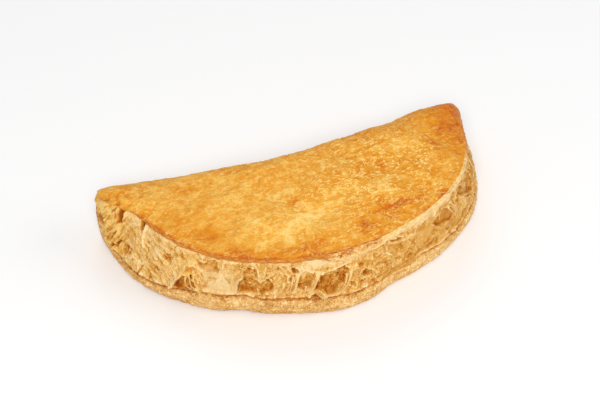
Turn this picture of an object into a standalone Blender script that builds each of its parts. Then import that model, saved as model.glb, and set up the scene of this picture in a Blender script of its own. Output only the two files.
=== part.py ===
"""Half-moon cheese pie of puff pastry, about 17 cm long, lying flat on its base.

One sheet of pastry is folded over the filling along the hollow back edge and baked. The lid is domed and
smooth. Round the front the cut edge has puffed open, so that between the lid's thin rim and the lip of the
base there is a torn side of webs, strands and hollows.

The solid is one loft. Its plan is a closed loop, walked from the left tip round the front to the right tip
and home along the back. Every place on the loop has its own upright section, which changes from an open,
torn side at the front to a closed round fold at the back.
"""

from collections import namedtuple

import bpy
import numpy as np

MM = 0.001

# Plan, seen from above: half a superellipse at the front, a hollow curve at the back
HALF_LENGTH = 87.8 * MM
FRONT_DEPTH = 74.9 * MM  # from the line through the tips to the front of the base
FRONT_POWER = 1.914  # 2 is an ellipse, less is more pointed
TIP_LINE = -1.9 * MM  # where the tips lie, before the plan is centred
BACK_MIDDLE = -4.6 * MM  # the back edge halfway along
BACK_HOLLOW = 16.6 * MM  # how far the ends of the back edge stand behind its middle
TIP_TAPER_LEFT = 0.398  # 0 is a square end, 1 is a drawn-out one
TIP_TAPER_RIGHT = 0.279
PLAN_CENTRE = -35.5 * MM  # middle of the whole plan from front to back, which goes to the origin

# Upright sizes
RIM_HEIGHT = 32.0 * MM  # top of the lid's rim at the middle of the front
RIM_HEIGHT_LEFT = 28.9 * MM
RIM_HEIGHT_RIGHT = 22.2 * MM
CROWN_HEIGHT = 34.5 * MM  # ridge of the lid, halfway along
CROWN_HEIGHT_LEFT = 26.4 * MM
CROWN_HEIGHT_RIGHT = 26.3 * MM
LIP_HEIGHT = 9.0 * MM  # base crust at the front
LIP_HEIGHT_TIP = 4.2 * MM
RIM_THICKNESS = 1.5 * MM  # cut edge of the lid
RIM_THICKNESS_FRONT = 2.9 * MM  # where the lid's edge is thick and porous
FOLD_HEIGHT = 15.0 * MM  # height at which the fold reaches furthest back
FOLD_HEIGHT_LEFT = 19.3 * MM
FOLD_HEIGHT_RIGHT = 12.3 * MM

# The lid's rim stands back from the edge of the base
RIM_SETBACK = 2.8 * MM
RIM_SETBACK_LEFT = 5.3 * MM
RIM_SETBACK_RIGHT = 2.8 * MM
RIM_OVERHANG = 1.0 * MM  # how far the rim stands out from the torn side under it
TIP_REACH_LEFT = 5.3 * MM  # the lid comes forward again at the very tips
TIP_REACH_RIGHT = 0.8 * MM

# The ridge, where the front of the lid and its back meet
RIDGE_SHARE = 0.872  # length of the ridge as a share of the plan's
RIDGE_MIDDLE = -20.1 * MM
RIDGE_HOLLOW = 19.5 * MM
DOME_POWER = 2.0
FOLD_POWER = 2.2

# How finely the loft is divided
TORN_COLUMNS = 192  # round the torn side
COLUMN_RATIO = 3  # torn columns to each column of the lid
LID_COLUMNS = TORN_COLUMNS // COLUMN_RATIO
TORN_ROWS = 12
LID_ROWS = 8
FOLD_WRAP = 9.0 * MM  # the torn side runs this far round behind each tip
FOLD_BLEND = 16.0 * MM  # and opens over this length
FOLD_TIP_LENGTH = 30.0 * MM  # the fold changes height towards the tips over this length
FOLD_ROUNDING = 7.5 * MM  # how far the fold curves in at its foot and its top
FOLD_ROUNDING_TIP = 2.6 * MM

# A hollow in the torn side: where along the front and how high (as a share of the rim's height) its middle is,
# its half width, its half height (a share too), how far its top leans to the right, and its depth
Hollow = namedtuple("Hollow", "along high width tall lean depth")
HOLLOWS = [
    Hollow(along * MM, high, width * MM, tall, lean * MM, depth * MM)
    for along, high, width, tall, lean, depth in (
        (3, 0.40, 1.8, 0.20, 5, 1.4),
        (8, 0.52, 1.7, 0.24, 4, 1.3),
        (14, 0.32, 2.0, 0.12, 1, 1.6),
        (20, 0.32, 2.0, 0.12, 1, 1.5),
        (36, 0.52, 5.0, 0.10, -20, 0.8),
        (53.5, 0.46, 3.0, 0.26, 18, 4.4),
        (66, 0.81, 6.2, 0.12, -12, 2.6),
        (85.5, 0.50, 7.8, 0.17, 0, 4.8),
        (83, 0.80, 4.4, 0.12, 4, 1.5),
        (88.5, 0.89, 1.8, 0.05, 0, 1.4),
        (102, 0.82, 2.8, 0.10, 0, 2.2),
        (107, 0.60, 3.4, 0.24, 3, 3.8),
        (119, 0.56, 7.2, 0.23, 10, 5.0),
        (112.8, 0.34, 2.6, 0.06, 0, 3.0),
        (134, 0.50, 5.2, 0.14, 12, 3.6),
        (149, 0.84, 4.4, 0.06, -2, 2.6),
        (157, 0.60, 4.6, 0.17, -6, 1.9),
        (167, 0.64, 6.6, 0.18, -5, 2.6),
        (178, 0.68, 4.6, 0.15, -6, 3.2),
        (188, 0.48, 4.6, 0.20, -9, 2.8),
        (199, 0.56, 6.4, 0.24, -5, 3.2),
        (212, 0.52, 5.4, 0.22, 4, 3.0),
        (224, 0.55, 4.8, 0.20, -4, 2.6),
        (236, 0.50, 4.0, 0.20, 3, 2.2),
        (246, 0.50, 2.6, 0.18, -2, 1.4),
    )
]

# A strand of dough pulled out between two places on the torn side: both ends, half its width, how proud it is
Strand = namedtuple("Strand", "along high to_along to_high width proud")
STRANDS = [
    Strand(along * MM, high, to_along * MM, to_high, width * MM, proud * MM)
    for along, high, to_along, to_high, width, proud in (
        (46.5, 0.26, 53, 0.72, 1.4, 1.3),
        (57, 0.30, 60, 0.54, 1.1, 1.8),
        (62, 0.32, 63, 0.54, 1.1, 1.5),
        (73, 0.90, 71, 0.70, 1.2, 0.9),
        (77, 0.34, 78, 0.72, 1.3, 1.3),
        (88, 0.84, 88, 0.62, 2.0, 2.4),
        (94, 0.36, 98, 0.56, 1.1, 1.3),
        (104, 0.72, 103, 0.36, 1.2, 2.6),
        (113, 0.74, 109, 0.34, 1.2, 3.0),
        (129, 0.64, 121, 0.28, 1.2, 2.8),
        (137, 0.24, 143, 0.42, 1.1, 1.2),
        (152, 0.84, 161, 0.48, 1.2, 1.4),
        (175, 0.88, 183, 0.46, 1.3, 1.8),
        (193, 0.80, 190, 0.34, 1.2, 1.6),
        (206, 0.78, 205, 0.30, 1.2, 1.8),
        (218, 0.78, 219, 0.30, 1.2, 1.6),
        (230, 0.76, 230, 0.30, 1.2, 1.5),
    )
]

# Gentle bulges (+) and dents (-) of the base's outline: where along the front, how far, half their length
Bulge = namedtuple("Bulge", "along out length")
BASE_BULGES = [
    Bulge(along * MM, out * MM, length * MM)
    for along, out, length in (
        (2, -1.8, 14),
        (16, -0.9, 10),
        (30, -0.5, 12),
        (50, -0.5, 13),
        (80, -2.6, 9),
        (98, -1.0, 10),
        (124, 1.2, 12),
        (149, -2.3, 8),
        (163, -1.1, 9),
        (208, 1.5, 18),
    )
]

# Two places near the left tip where the lid's rim is creased and nicked
NICKS = (11 * MM, 25 * MM)
NICK_WIDTH = 1.6 * MM
NICK_DEPTH = 1.2 * MM

# Slow swells of the lid: height, then how many waves fit in a metre along and across, then a phase
LID_SWELLS = ((0.45 * MM, 19, 23, 0.4), (0.30 * MM, -17, 41, 1.9), (0.20 * MM, 44, 35, 3.1))

CRUST_COLOUR = (0.72, 0.36, 0.09, 1)
TORN_COLOUR = (0.78, 0.56, 0.29, 1)
BASE_COLOUR = (0.68, 0.42, 0.17, 1)
PASTRY_ROUGHNESS = 0.6
SHARP_ANGLE = 0.7


def signed_power(value, power):
    return np.sign(value) * np.abs(value) ** power


def smooth_step(start, end, value):
    share = np.clip((value - start) / (end - start), 0, 1)
    return share * share * (3 - 2 * share)


def bell(middle, width, value):
    return np.exp(-(((value - middle) / width) ** 2))


def mix(first, second, share):
    return first * (1 - share) + second * share


class Plan:
    """The closed loop seen from above, and places on it by the distance walked from the left tip."""

    STEPS = 1200
    NORMAL_REACH = 1.6 * MM  # half the chord that an outward direction is taken across

    def __init__(self):
        turn = np.linspace(0, np.pi, self.STEPS)
        cosine = np.cos(turn)
        sine = np.clip(np.sin(turn), 0, None)
        x = -HALF_LENGTH * signed_power(cosine, 2 / FRONT_POWER)
        front = TIP_LINE - FRONT_DEPTH * sine ** (2 / FRONT_POWER)
        hollow = BACK_MIDDLE - TIP_LINE + BACK_HOLLOW * cosine**2
        taper = mix(TIP_TAPER_LEFT, TIP_TAPER_RIGHT, (1 - cosine) / 2)
        back = TIP_LINE + hollow * sine**taper
        self.x = np.concatenate([x, x[::-1][1:]])
        self.y = np.concatenate([front, back[::-1][1:]]) - PLAN_CENTRE
        steps = np.hypot(np.diff(self.x), np.diff(self.y))
        self.walked = np.concatenate([[0], np.cumsum(steps)])
        self.front_length = self.walked[self.STEPS - 1]
        self.length = self.walked[-1]

    def points(self, along):
        walked = np.mod(along, self.length)
        x = np.interp(walked, self.walked, self.x)
        y = np.interp(walked, self.walked, self.y)
        return np.stack([x, y], -1)

    def normals(self, along):
        chord = self.points(along + self.NORMAL_REACH) - self.points(along - self.NORMAL_REACH)
        chord /= np.linalg.norm(chord, axis=-1, keepdims=True)
        return np.stack([chord[:, 1], -chord[:, 0]], -1)


PLAN = Plan()


def side_share(along, left, middle, right, power=2.5):
    """A size that is middle halfway along the front, and goes to left and right at the tips."""
    place = 2 * np.clip(along / PLAN.front_length, 0, 1) - 1
    to_left = np.clip(-place, 0, 1) ** power
    to_right = np.clip(place, 0, 1) ** power
    return middle + (left - middle) * to_left + (right - middle) * to_right


def rim_height(along):
    return side_share(along, RIM_HEIGHT_LEFT, RIM_HEIGHT, RIM_HEIGHT_RIGHT) - nicks(along)


def nicks(along):
    return NICK_DEPTH * sum(bell(place, NICK_WIDTH, along) for place in NICKS)


def rim_setback(along):
    share = along / PLAN.front_length
    return (
        RIM_SETBACK
        + RIM_SETBACK_LEFT * bell(0.108, 0.119, share)
        + RIM_SETBACK_RIGHT * bell(0.918, 0.091, share)
        - TIP_REACH_LEFT * bell(0, 0.05, share)
        - TIP_REACH_RIGHT * bell(1, 0.05, share)
        + nicks(along) * 0.6
    )


def rim_thickness(along):
    share = along / PLAN.front_length
    thick = smooth_step(0.34, 0.42, share) * (1 - smooth_step(0.56, 0.64, share))
    return mix(RIM_THICKNESS, RIM_THICKNESS_FRONT, thick)


def lip_height(along):
    share = along / PLAN.front_length
    full = smooth_step(0.14, 0.25, share) * (1 - 0.85 * smooth_step(0.65, 0.76, share))
    return mix(LIP_HEIGHT_TIP, LIP_HEIGHT, full)


def base_bulge(along):
    return sum(b.out * bell(b.along, b.length, along) for b in BASE_BULGES)


def hollow_depth(along, high):
    """How deep the torn side is sunk: the deepest of the hollows that reach here, with steep walls."""
    depth = np.zeros(np.broadcast(along, high).shape)
    for h in HOLLOWS:
        across = (along - h.along - h.lean * (high - h.high)) / h.width
        up = (high - h.high) / h.tall
        reach = np.sqrt(across**2 + up**2)
        depth = np.maximum(depth, h.depth * (1 - smooth_step(0.45, 1.3, reach)))
    return depth


def strand_proud(along, high):
    """How far the strands stand out, from the distance to each strand's straight middle line."""
    proud = np.zeros(np.broadcast(along, high).shape)
    for s in STRANDS:
        tall = 30 * MM  # turns a share of the height into a length
        run = np.array([s.to_along - s.along, (s.to_high - s.high) * tall])
        place = np.stack(np.broadcast_arrays(along - s.along, (high - s.high) * tall), -1)
        share = np.clip(place @ run / (run @ run), 0, 1)
        away = np.linalg.norm(place - share[..., None] * run, axis=-1)
        proud = np.maximum(proud, s.proud * bell(0, s.width, away))
    return proud


def soften(relief):
    """Each value of a grid averaged with its neighbours, so that slanting edges don't turn into steps."""
    for axis in (0, 1):
        around = np.pad(relief, 1, mode="edge")
        around = around[:, 1:-1] if axis == 0 else around[1:-1]
        before = np.take(around, range(relief.shape[axis]), axis)
        after = np.take(around, range(2, relief.shape[axis] + 2), axis)
        relief = (before + 2 * relief + after) / 4
    return relief


def side_rows(along):
    """Sections of the side as (offset outwards from the loop, height) for each row, from the base up to the rim."""
    rim = rim_height(along)
    setback = rim_setback(along)
    thick = rim_thickness(along)
    lip = lip_height(along)
    bulge = base_bulge(along)
    base = [
        (bulge - 3.6 * MM, 0 * lip),
        (bulge - 1.2 * MM, 0.10 * lip),
        (bulge, 0.42 * lip),
        (bulge - 0.3 * MM, 0.80 * lip),
        (bulge - 1.1 * MM, lip),
    ]
    under_rim = rim - thick
    share = np.linspace(0, 1, TORN_ROWS + 1)[:, None]
    height = mix(lip + 0.5 * MM, under_rim - 0.3 * MM, share)
    lean = mix(bulge - 1.5 * MM, -setback - RIM_OVERHANG, share)
    high = height / rim
    depth = soften(hollow_depth(along, high) - strand_proud(along, high))
    depth *= smooth_step(0, 0.12, share) * (1 - smooth_step(0.9, 1, share))
    torn = list(zip(lean - depth, height))
    lid = [
        (-setback - 0.3 * MM, under_rim),
        (-setback, rim - 0.4 * thick),
        (-setback - 0.9 * MM, rim),
    ]
    return base, torn, lid


def tip_shares(along):
    """How near the left and the right tip a place is, each from 0 to 1."""
    behind = np.where(along > PLAN.length / 2 + PLAN.front_length / 2, along - PLAN.length, along)
    return bell(0, FOLD_TIP_LENGTH, behind), bell(PLAN.front_length, FOLD_TIP_LENGTH, along)


def fold_section(along, count_base, count_torn, count_lid):
    """The closed round section of the fold, with as many places as the side has rows."""
    left, right = tip_shares(along)
    middle = FOLD_HEIGHT + (FOLD_HEIGHT_LEFT - FOLD_HEIGHT) * left + (FOLD_HEIGHT_RIGHT - FOLD_HEIGHT) * right
    rounding = mix(FOLD_ROUNDING, FOLD_ROUNDING_TIP, left + right)
    low = [-90, -58, -36, -18, -6]
    turns = low[:count_base] + [0] * count_torn + [8, 16, 24][:count_lid]
    rows = []
    for turn in np.radians(turns):
        out = -rounding * (1 - np.cos(turn)) ** 0.9
        rows.append((out, middle * (1 + np.sin(turn))))
    return rows


def ring_rows(along, opening):
    """Points of every row of the loop's side. opening is 0 in the fold and 1 where the side is torn open."""
    base, torn, lid = side_rows(along)
    closed = fold_section(along, len(base), len(torn), len(lid))
    point = PLAN.points(along)
    normal = PLAN.normals(along)
    rows = []
    for (offset, height), (fold_offset, fold_height) in zip(base + torn + lid, closed):
        out = mix(fold_offset, offset, opening)
        up = mix(fold_height, height, opening)
        rows.append(np.column_stack([point + normal * out[:, None], up]))
    return rows, len(base), len(torn)


def ridge_line(front, back):
    """The top ends of the lid's columns, on one line between the front and the back of the rim."""
    x = RIDGE_SHARE * (front[:, 0] + back[:, 0]) / 2
    y = RIDGE_MIDDLE - PLAN_CENTRE + RIDGE_HOLLOW * (x / HALF_LENGTH) ** 2
    place = x / HALF_LENGTH
    height = (
        CROWN_HEIGHT
        + (CROWN_HEIGHT_LEFT - CROWN_HEIGHT) * np.clip(-place, 0, 1) ** 2.5
        + (CROWN_HEIGHT_RIGHT - CROWN_HEIGHT) * np.clip(place, 0, 1) ** 2.5
    )
    return np.column_stack([x, y, height])


def lid_swell(points):
    x, y = points[:, 0], points[:, 1]
    return sum(h * np.sin(2 * np.pi * (along * x + across * y) + phase) for h, along, across, phase in LID_SWELLS)


def lid_rows(rim, ridge, fold):
    """Rows from the rim up to the ridge. fold is 1 where the lid turns down into the back fold, 0 at the front."""
    rows = []
    for row in range(1, LID_ROWS):
        share = row / LID_ROWS
        dome = mix(rim, ridge, share)
        dome[:, 2] = mix(rim[:, 2], ridge[:, 2], 1 - (1 - share) ** DOME_POWER)
        quarter = np.pi / 2 * share
        round_back = ridge + (rim - ridge) * np.cos(quarter) ** (2 / FOLD_POWER)
        round_back[:, 2] = mix(rim[:, 2], ridge[:, 2], np.sin(quarter) ** (2 / FOLD_POWER))
        points = mix(dome, round_back, fold[:, None])
        points[:, 2] += lid_swell(points) * smooth_step(0, 0.4, share)
        rows.append(points)
    return rows


class Skin:
    """Vertices and faces of the loft, gathered band by band."""

    def __init__(self):
        self.points = []
        self.faces = []
        self.materials = []

    def row(self, points):
        first = len(self.points)
        self.points.extend(map(tuple, points))
        return list(range(first, len(self.points)))

    def band(self, lower, upper, material, turned=False):
        """Quads between two rows of as many vertices. A shared end vertex makes that quad a triangle."""
        for i in range(len(lower) - 1):
            corners = [lower[i], lower[i + 1], upper[i + 1], upper[i]]
            self.face(corners, material, turned)

    def face(self, corners, material, turned=False):
        corners = list(dict.fromkeys(corners))
        if len(corners) > 2:
            self.faces.append(corners[::-1] if turned else corners)
            self.materials.append(material)


BASE, TORN, CRUST = range(3)  # the body's material slots


def build_skin():
    start, end = -FOLD_WRAP, PLAN.front_length + FOLD_WRAP
    torn_along = np.linspace(start, end, TORN_COLUMNS + 1)
    opening = smooth_step(start, start + FOLD_BLEND, torn_along) * smooth_step(end, end - FOLD_BLEND, torn_along)
    fold_along = np.linspace(start + PLAN.length, end, LID_COLUMNS + 1)
    side, base_count, torn_count = ring_rows(torn_along, opening)
    fold, _, _ = ring_rows(fold_along, np.zeros(LID_COLUMNS + 1))

    skin = Skin()
    side_ids = []
    for index, points in enumerate(side):
        ids = skin.row(points[1:-1])
        in_torn = base_count <= index < base_count + torn_count
        if in_torn and index > base_count:
            left, right = side_ids[-1][0], side_ids[-1][-1]
        else:
            left, right = skin.row(points[[0, -1]])
        side_ids.append([left, *ids, right])
    fold_ids = []
    for index, points in enumerate(fold):
        if base_count < index < base_count + torn_count:
            continue
        ids = skin.row(points[1:-1])
        fold_ids.append([side_ids[index][0], *ids, side_ids[index][-1]])

    for index in range(len(side_ids) - 1):
        material = BASE if index < base_count else TORN if index < base_count + torn_count else CRUST
        skin.band(side_ids[index], side_ids[index + 1], material)
    for index in range(len(fold_ids) - 1):
        material = BASE if index < base_count - 2 else CRUST
        skin.band(fold_ids[index], fold_ids[index + 1], material, turned=True)

    close_lid(skin, side, fold, side_ids[-1], fold_ids[-1])
    skin.face(side_ids[0][::-1] + fold_ids[0][1:-1], BASE)
    return skin


def close_lid(skin, side, fold, side_rim, fold_rim):
    """Joins the rim's front and back over the ridge, with one lid column to COLUMN_RATIO torn ones."""
    front = side[-1][::COLUMN_RATIO]
    back = fold[-1]
    ridge = ridge_line(front, back)
    ridge[:, 2] += lid_swell(ridge)
    column = np.arange(LID_COLUMNS + 1) / LID_COLUMNS
    inside = smooth_step(0, 0.16, column) * smooth_step(1, 0.84, column)
    ridge_ids = skin.row(ridge)
    front_ids = [skin.row(points) for points in lid_rows(front, ridge, np.zeros_like(inside))]
    back_ids = []
    for points, shared in zip(lid_rows(back, ridge, inside), front_ids):
        ids = skin.row(points[1:-1])
        back_ids.append([shared[0], *ids, shared[-1]])

    for i in range(LID_COLUMNS):
        fine = side_rim[i * COLUMN_RATIO : (i + 1) * COLUMN_RATIO + 1]
        skin.face([*fine, front_ids[0][i + 1], front_ids[0][i]], CRUST)
    rows = [*front_ids, ridge_ids]
    for lower, upper in zip(rows, rows[1:]):
        skin.band(lower, upper, CRUST)
    rows = [fold_rim, *back_ids, ridge_ids]
    for lower, upper in zip(rows, rows[1:]):
        skin.band(lower, upper, CRUST, turned=True)


def pastry_material(name, colour):
    material = bpy.data.materials.new(name)
    material.use_nodes = True
    shader = material.node_tree.nodes["Principled BSDF"]
    shader.inputs["Base Color"].default_value = colour
    shader.inputs["Roughness"].default_value = PASTRY_ROUGHNESS
    shader.inputs["Metallic"].default_value = 0
    return material


def clear_scene():
    for obj in list(bpy.data.objects):
        bpy.data.objects.remove(obj)


def make_pie():
    skin = build_skin()
    mesh = bpy.data.meshes.new("cheese_pie")
    mesh.from_pydata(skin.points, [], skin.faces)
    mesh.materials.append(pastry_material("baked base", BASE_COLOUR))
    mesh.materials.append(pastry_material("torn pastry", TORN_COLOUR))
    mesh.materials.append(pastry_material("browned crust", CRUST_COLOUR))
    mesh.polygons.foreach_set("material_index", skin.materials)
    mesh.shade_smooth()
    mesh.set_sharp_from_angle(angle=SHARP_ANGLE)
    mesh.validate()
    pie = bpy.data.objects.new("cheese_pie", mesh)
    collection = bpy.data.collections.new("Cheese pie")
    bpy.context.scene.collection.children.link(collection)
    collection.objects.link(pie)


def main():
    clear_scene()
    make_pie()


main()
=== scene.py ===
"""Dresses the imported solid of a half-moon cheese pie as baked puff pastry.

One sheet of pastry is folded over the filling along the hollow back edge. The lid is browned and blistered,
the cut edges round the front have puffed open into webs, strands and hollows, and a sandy lip of base crust
shows below them. Each piece is a numpy surface laid round the plan of the pie, which is walked from the left
tip round the front to the right tip and home along the back fold.

Three measures name a place on the front: along is the distance walked, in metres, front_share is the same as a
share of the front's length, and high is a share of the rim's height there.
"""

import math
from collections import namedtuple

import bpy
import numpy as np
from bpy.props import FloatProperty, FloatVectorProperty, IntProperty, PointerProperty
from bpy.types import Operator, Panel, PropertyGroup
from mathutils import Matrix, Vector


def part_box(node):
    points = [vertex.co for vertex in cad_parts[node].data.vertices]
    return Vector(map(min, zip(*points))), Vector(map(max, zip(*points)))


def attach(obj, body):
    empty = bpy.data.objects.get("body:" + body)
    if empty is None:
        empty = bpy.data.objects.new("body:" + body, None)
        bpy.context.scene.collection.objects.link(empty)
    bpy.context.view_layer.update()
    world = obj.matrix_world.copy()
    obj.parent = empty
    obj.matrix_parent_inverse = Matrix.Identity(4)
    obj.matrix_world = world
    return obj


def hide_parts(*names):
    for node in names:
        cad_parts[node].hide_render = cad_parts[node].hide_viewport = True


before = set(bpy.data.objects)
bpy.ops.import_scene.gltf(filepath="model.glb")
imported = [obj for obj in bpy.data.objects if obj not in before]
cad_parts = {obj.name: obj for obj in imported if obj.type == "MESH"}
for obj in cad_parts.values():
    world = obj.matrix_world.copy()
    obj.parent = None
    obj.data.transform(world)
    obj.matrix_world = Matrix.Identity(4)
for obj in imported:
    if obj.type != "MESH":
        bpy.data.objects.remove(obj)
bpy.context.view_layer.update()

bl_info = {
    "name": "Cheese Pie",
    "version": (1, 0, 0),
    "blender": (4, 5, 0),
    "location": "View3D > Sidebar > Cheese Pie",
    "description": "Builds a half-moon cheese pie of puff pastry",
    "category": "Add Mesh",
}

MM = 0.001
NODE = "cheese_pie"
PIE_LOW, PIE_HIGH = (np.array(corner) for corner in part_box(NODE))
LENGTH, DEPTH, HEIGHT = (float(size) for size in PIE_HIGH - PIE_LOW)

# Plan, seen from above: half a superellipse at the front, a hollow curve at the back
HALF_LENGTH = 87.8 * MM
FRONT_DEPTH = 74.9 * MM
FRONT_POWER = 1.914
TIP_LINE = -1.9 * MM
BACK_MIDDLE = -4.6 * MM
BACK_HOLLOW = 16.6 * MM
TIP_TAPER_LEFT = 0.398
TIP_TAPER_RIGHT = 0.279
PLAN_CENTRE = -35.5 * MM

# Upright sizes
RIM_HEIGHT = 32.0 * MM
RIM_HEIGHT_LEFT = 28.9 * MM
RIM_HEIGHT_RIGHT = 22.2 * MM
CROWN_HEIGHT = 34.5 * MM
CROWN_HEIGHT_LEFT = 26.4 * MM
CROWN_HEIGHT_RIGHT = 26.3 * MM
TIP_POWER = 2.5  # how late these heights turn towards the tips' own
FOLD_HEIGHT = 15.0 * MM
FOLD_HEIGHT_LEFT = 19.3 * MM
FOLD_HEIGHT_RIGHT = 12.3 * MM
FOLD_TIP_LENGTH = 30.0 * MM
FOLD_ROUNDING = 7.5 * MM
FOLD_ROUNDING_TIP = 2.6 * MM
FOLD_ROUNDING_POWER = 0.9

# The lid's rim stands back from the edge of the base, and more or less so in bells along the front: how far,
# and the place and length of each bell as shares of the front's length
RIM_SETBACK = 2.8 * MM
Setback = namedtuple("Setback", "back share length")
SETBACKS = [
    Setback(5.3 * MM, 0.108, 0.119),  # the left wall
    Setback(2.8 * MM, 0.918, 0.091),  # the right end
    Setback(1.4 * MM, 0.08, 0.05),  # round the nicks
    Setback(-3.4 * MM, 0, 0.05),  # the left tip
    Setback(-0.8 * MM, 1, 0.05),  # the right tip
]
NICK_SETBACK = 0.8  # for each millimetre of a nick's depth
RIM_OVERHANG = 0.9 * MM

# At the left tip the lid's cut edge draws in, so that its corner is blunt, and so does the fold's shoulder
# behind it, over some degrees of the fold's section
TIP_CORNER = 1.0 * MM
TIP_CORNER_SHARE = 0.05
TIP_SHOULDER = 2.0 * MM
TIP_SHOULDER_LENGTH = 12 * MM
TIP_SHOULDER_TURN = (2, 24)

# The thickness of the lid's cut edge, in millimetres, at shares of the front's length
THICK_SHARES = (-0.04, 0.04, 0.20, 0.44, 0.48, 0.535, 0.57, 0.84, 0.90, 1.04)
THICKNESSES = (0.6, 0.7, 1.1, 1.2, 3.7, 3.7, 2.2, 2.0, 4.4, 4.8)

# How far the cut edge rounds in at its top: little along the front, and much where it wraps round the tips
EDGE_ROUNDING = 0.35 * MM
EDGE_ROUNDING_TIPS = 1.7 * MM
SPONGY_STEP = 1.0 * MM  # how far the lower layers of the spongy edge stand out
SPONGY_STEP_TOP = (0.38, 0.52)  # where that step ends, as shares of the edge's thickness
PORE_DEPTH = 0.8 * MM
BRINKS = (0.5, 1.1)  # how far in from the edge the lid's top starts, in millimetres, on the left and the right

# The ridge, where the front of the lid and its back meet
RIDGE_SHARE = 0.872
RIDGE_MIDDLE = -20.1 * MM
RIDGE_HOLLOW = 19.5 * MM
DOME_POWER = 2.0
FOLD_POWER = 2.2

# The torn side runs a little way round behind each tip, where it closes into the fold
FOLD_WRAP = 9.0 * MM
FOLD_BLEND = 16.0 * MM
TUCK = 2.5 * MM  # what lies under the fold's edge there
TUCK_DEPTH = 0.8 * MM
SIDE_SPAN = 30 * MM  # turns a share of the rim's height into a length on the torn side
SIDE_BELLY = 0.6 * MM  # how far the torn side swells out between the lip and the rim
FOOT_SETBACK = 1.4 * MM  # how far the torn side's foot stands back from the edge of the base
FOOT_SPREAD = 1.2 * MM  # and how much of that is left out where the side runs down into the lip

# Steps along the front, as the shares of its length between which each is made
PAST_LEFT_TIP = (0.05, 0.09)  # the crinkled left tip ends
PAST_LEFT_WALL = (0.20, 0.28)  # the draped left wall ends
WIDE_BRINK = (0.40, 0.46)  # the lid starts further in from its edge from here on
SEAM_THINS = (0.42, 0.50)
LIGHTER_CRACKS = (0.50, 0.56)
LEVEL_FOLDS = (0.50, 0.58)  # folds lie level from here on
PALE_TOP = (0.54, 0.60)  # a pale band runs under the rim from here on
PALE_EDGE = (0.545, 0.58)  # the lid's cut edge is pale from here on
SPARSE_SKIN = (0.56, 0.62)  # skins are darker and finer in grain from here on
WRAPS_LEFT = (0.02, 0.06)  # the cut edge stops wrapping round the left tip
WRAPS_RIGHT = (0.83, 0.90)  # and starts to wrap round the right one
ROUND_RIGHT_TIP = (0.85, 0.92)
CALM_TIP = 0.35  # how strong bends, webs and cracks are at the left tip, against 1 elsewhere

# Stretches of the front, as the shares of its length where each begins, is whole, starts to fade and ends
SPONGY = (0.44, 0.475, 0.545, 0.575)  # the lid's cut edge is puffed thick
NO_SEAM = (0.54, 0.575, 0.62, 0.655)  # the side runs down into the lip with no line between them
WIDE_SEAM = (0.20, 0.24, 0.48, 0.52)
RIM_LINE = (0.08, 0.14, 0.48, 0.56)  # a thin brown line follows the rim
CUT_SHOWN = (*PAST_LEFT_TIP, 0.83, 0.87)  # the cut edge has its own colours

# How finely the surfaces are divided
LID_COLUMNS = 490
CUT_ROWS = 14
LID_ROWS = 84
BACK_ROWS = 50
FOLD_ROWS = 36
TORN_COLUMNS = 880
TORN_ROWS = 108
BASE_COLUMNS = 840
LIP_ROWS = 38
UNDER_ROWS = 40

# Random swells: how strong (a height, or a plain share), how far across, the seed, and how many sizes add up
Swell = namedtuple("Swell", "rise size seed sizes", defaults=(3,))
RIM_SWELL = Swell(0.35 * MM, 7 * MM, 3)
SETBACK_SWELL = Swell(0.4 * MM, 5 * MM, 4)
LIP_SWELL = Swell(0.25 * MM, 9 * MM, 5)
CUT_LAYERS = Swell(0.22 * MM, (3 * MM, 0.5 * MM, 1 * MM), 6)
EDGE_PORES = Swell(1, (1.3 * MM, 0.9 * MM, 1 * MM), 7, 2)
LID_BROAD = Swell(0.42 * MM, 13 * MM, 31)
BLISTER_BEND = Swell(1.6 * MM, 6 * MM, 24, 1)
BLISTERS = Swell(1, (4.6 * MM, 2.2 * MM, 3 * MM), 41, 2)
BLISTER_HEIGHT = 0.30 * MM
PIMPLE_BEND = Swell(2.0 * MM, 9 * MM, 21, 1)
PIMPLES = Swell(1, 1.6 * MM, 51)
PIMPLE_HEIGHT = 0.24 * MM
CREASE_DEPTH = 1.1 * MM
BAKE_BEND = Swell(2.5 * MM, 7 * MM, 61, 1)
BAKE_BROAD = Swell(0.10, 16 * MM, 64)
BAKE_STREAKS = Swell(0.14, (7 * MM, 3.5 * MM, 5 * MM), 65)
BAKE_EDGE = Swell(0.5, 8 * MM, 66, 1)
FLECK_SWELL = Swell(0.25, 8 * MM, 67)
OUTLINE_BENDS = (Swell(0.5 * MM, 3.4 * MM, 71), Swell(0.28 * MM, 1.1 * MM, 75))
SKIN_SWELL = Swell(0.11 * MM, 1.3 * MM, 85)
SIDE_SAG = Swell(0.5 * MM, 7 * MM, 86)
FLOOR_SWELL = Swell(0.7 * MM, 3.0 * MM, 95)
FLOOR_STAIN = Swell(0.3, 2.4 * MM, 95)
HEM_SWELL = Swell(0.6, 4 * MM, 96)
STRAND_WOBBLE = Swell(0.5 * MM, 5 * MM, 101)
STRAND_KNOTS = Swell(0.25, 3 * MM, 102)
SIDE_PORES = Swell(1, (2.2 * MM, 1.2 * MM, 1 * MM), 91)
LIP_WAVE = Swell(0.25 * MM, (9 * MM, 5 * MM, 1 * MM), 133)
LIP_GRAINS = (Swell(0.22 * MM, 2.0 * MM, 131), Swell(0.22 * MM, 0.9 * MM, 132, 1))
WEB_BEND = Swell(0.9 * MM, 2.6 * MM, 141, 2)
WEBS = Swell(1, (4.4 * MM, 2.6 * MM, 1 * MM), 144, 1)
CRACKS = Swell(1, (2.8 * MM, 1.5 * MM, 1 * MM), 145, 1)
CRACKED = Swell(1, 4 * MM, 146, 1)
WEBBED = Swell(1, 5 * MM, 147, 1)
WEB_HEIGHT = 0.32 * MM
CRACK_DEPTH = 0.36 * MM
SIDE_PORE_DEPTH = 0.8 * MM

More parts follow.
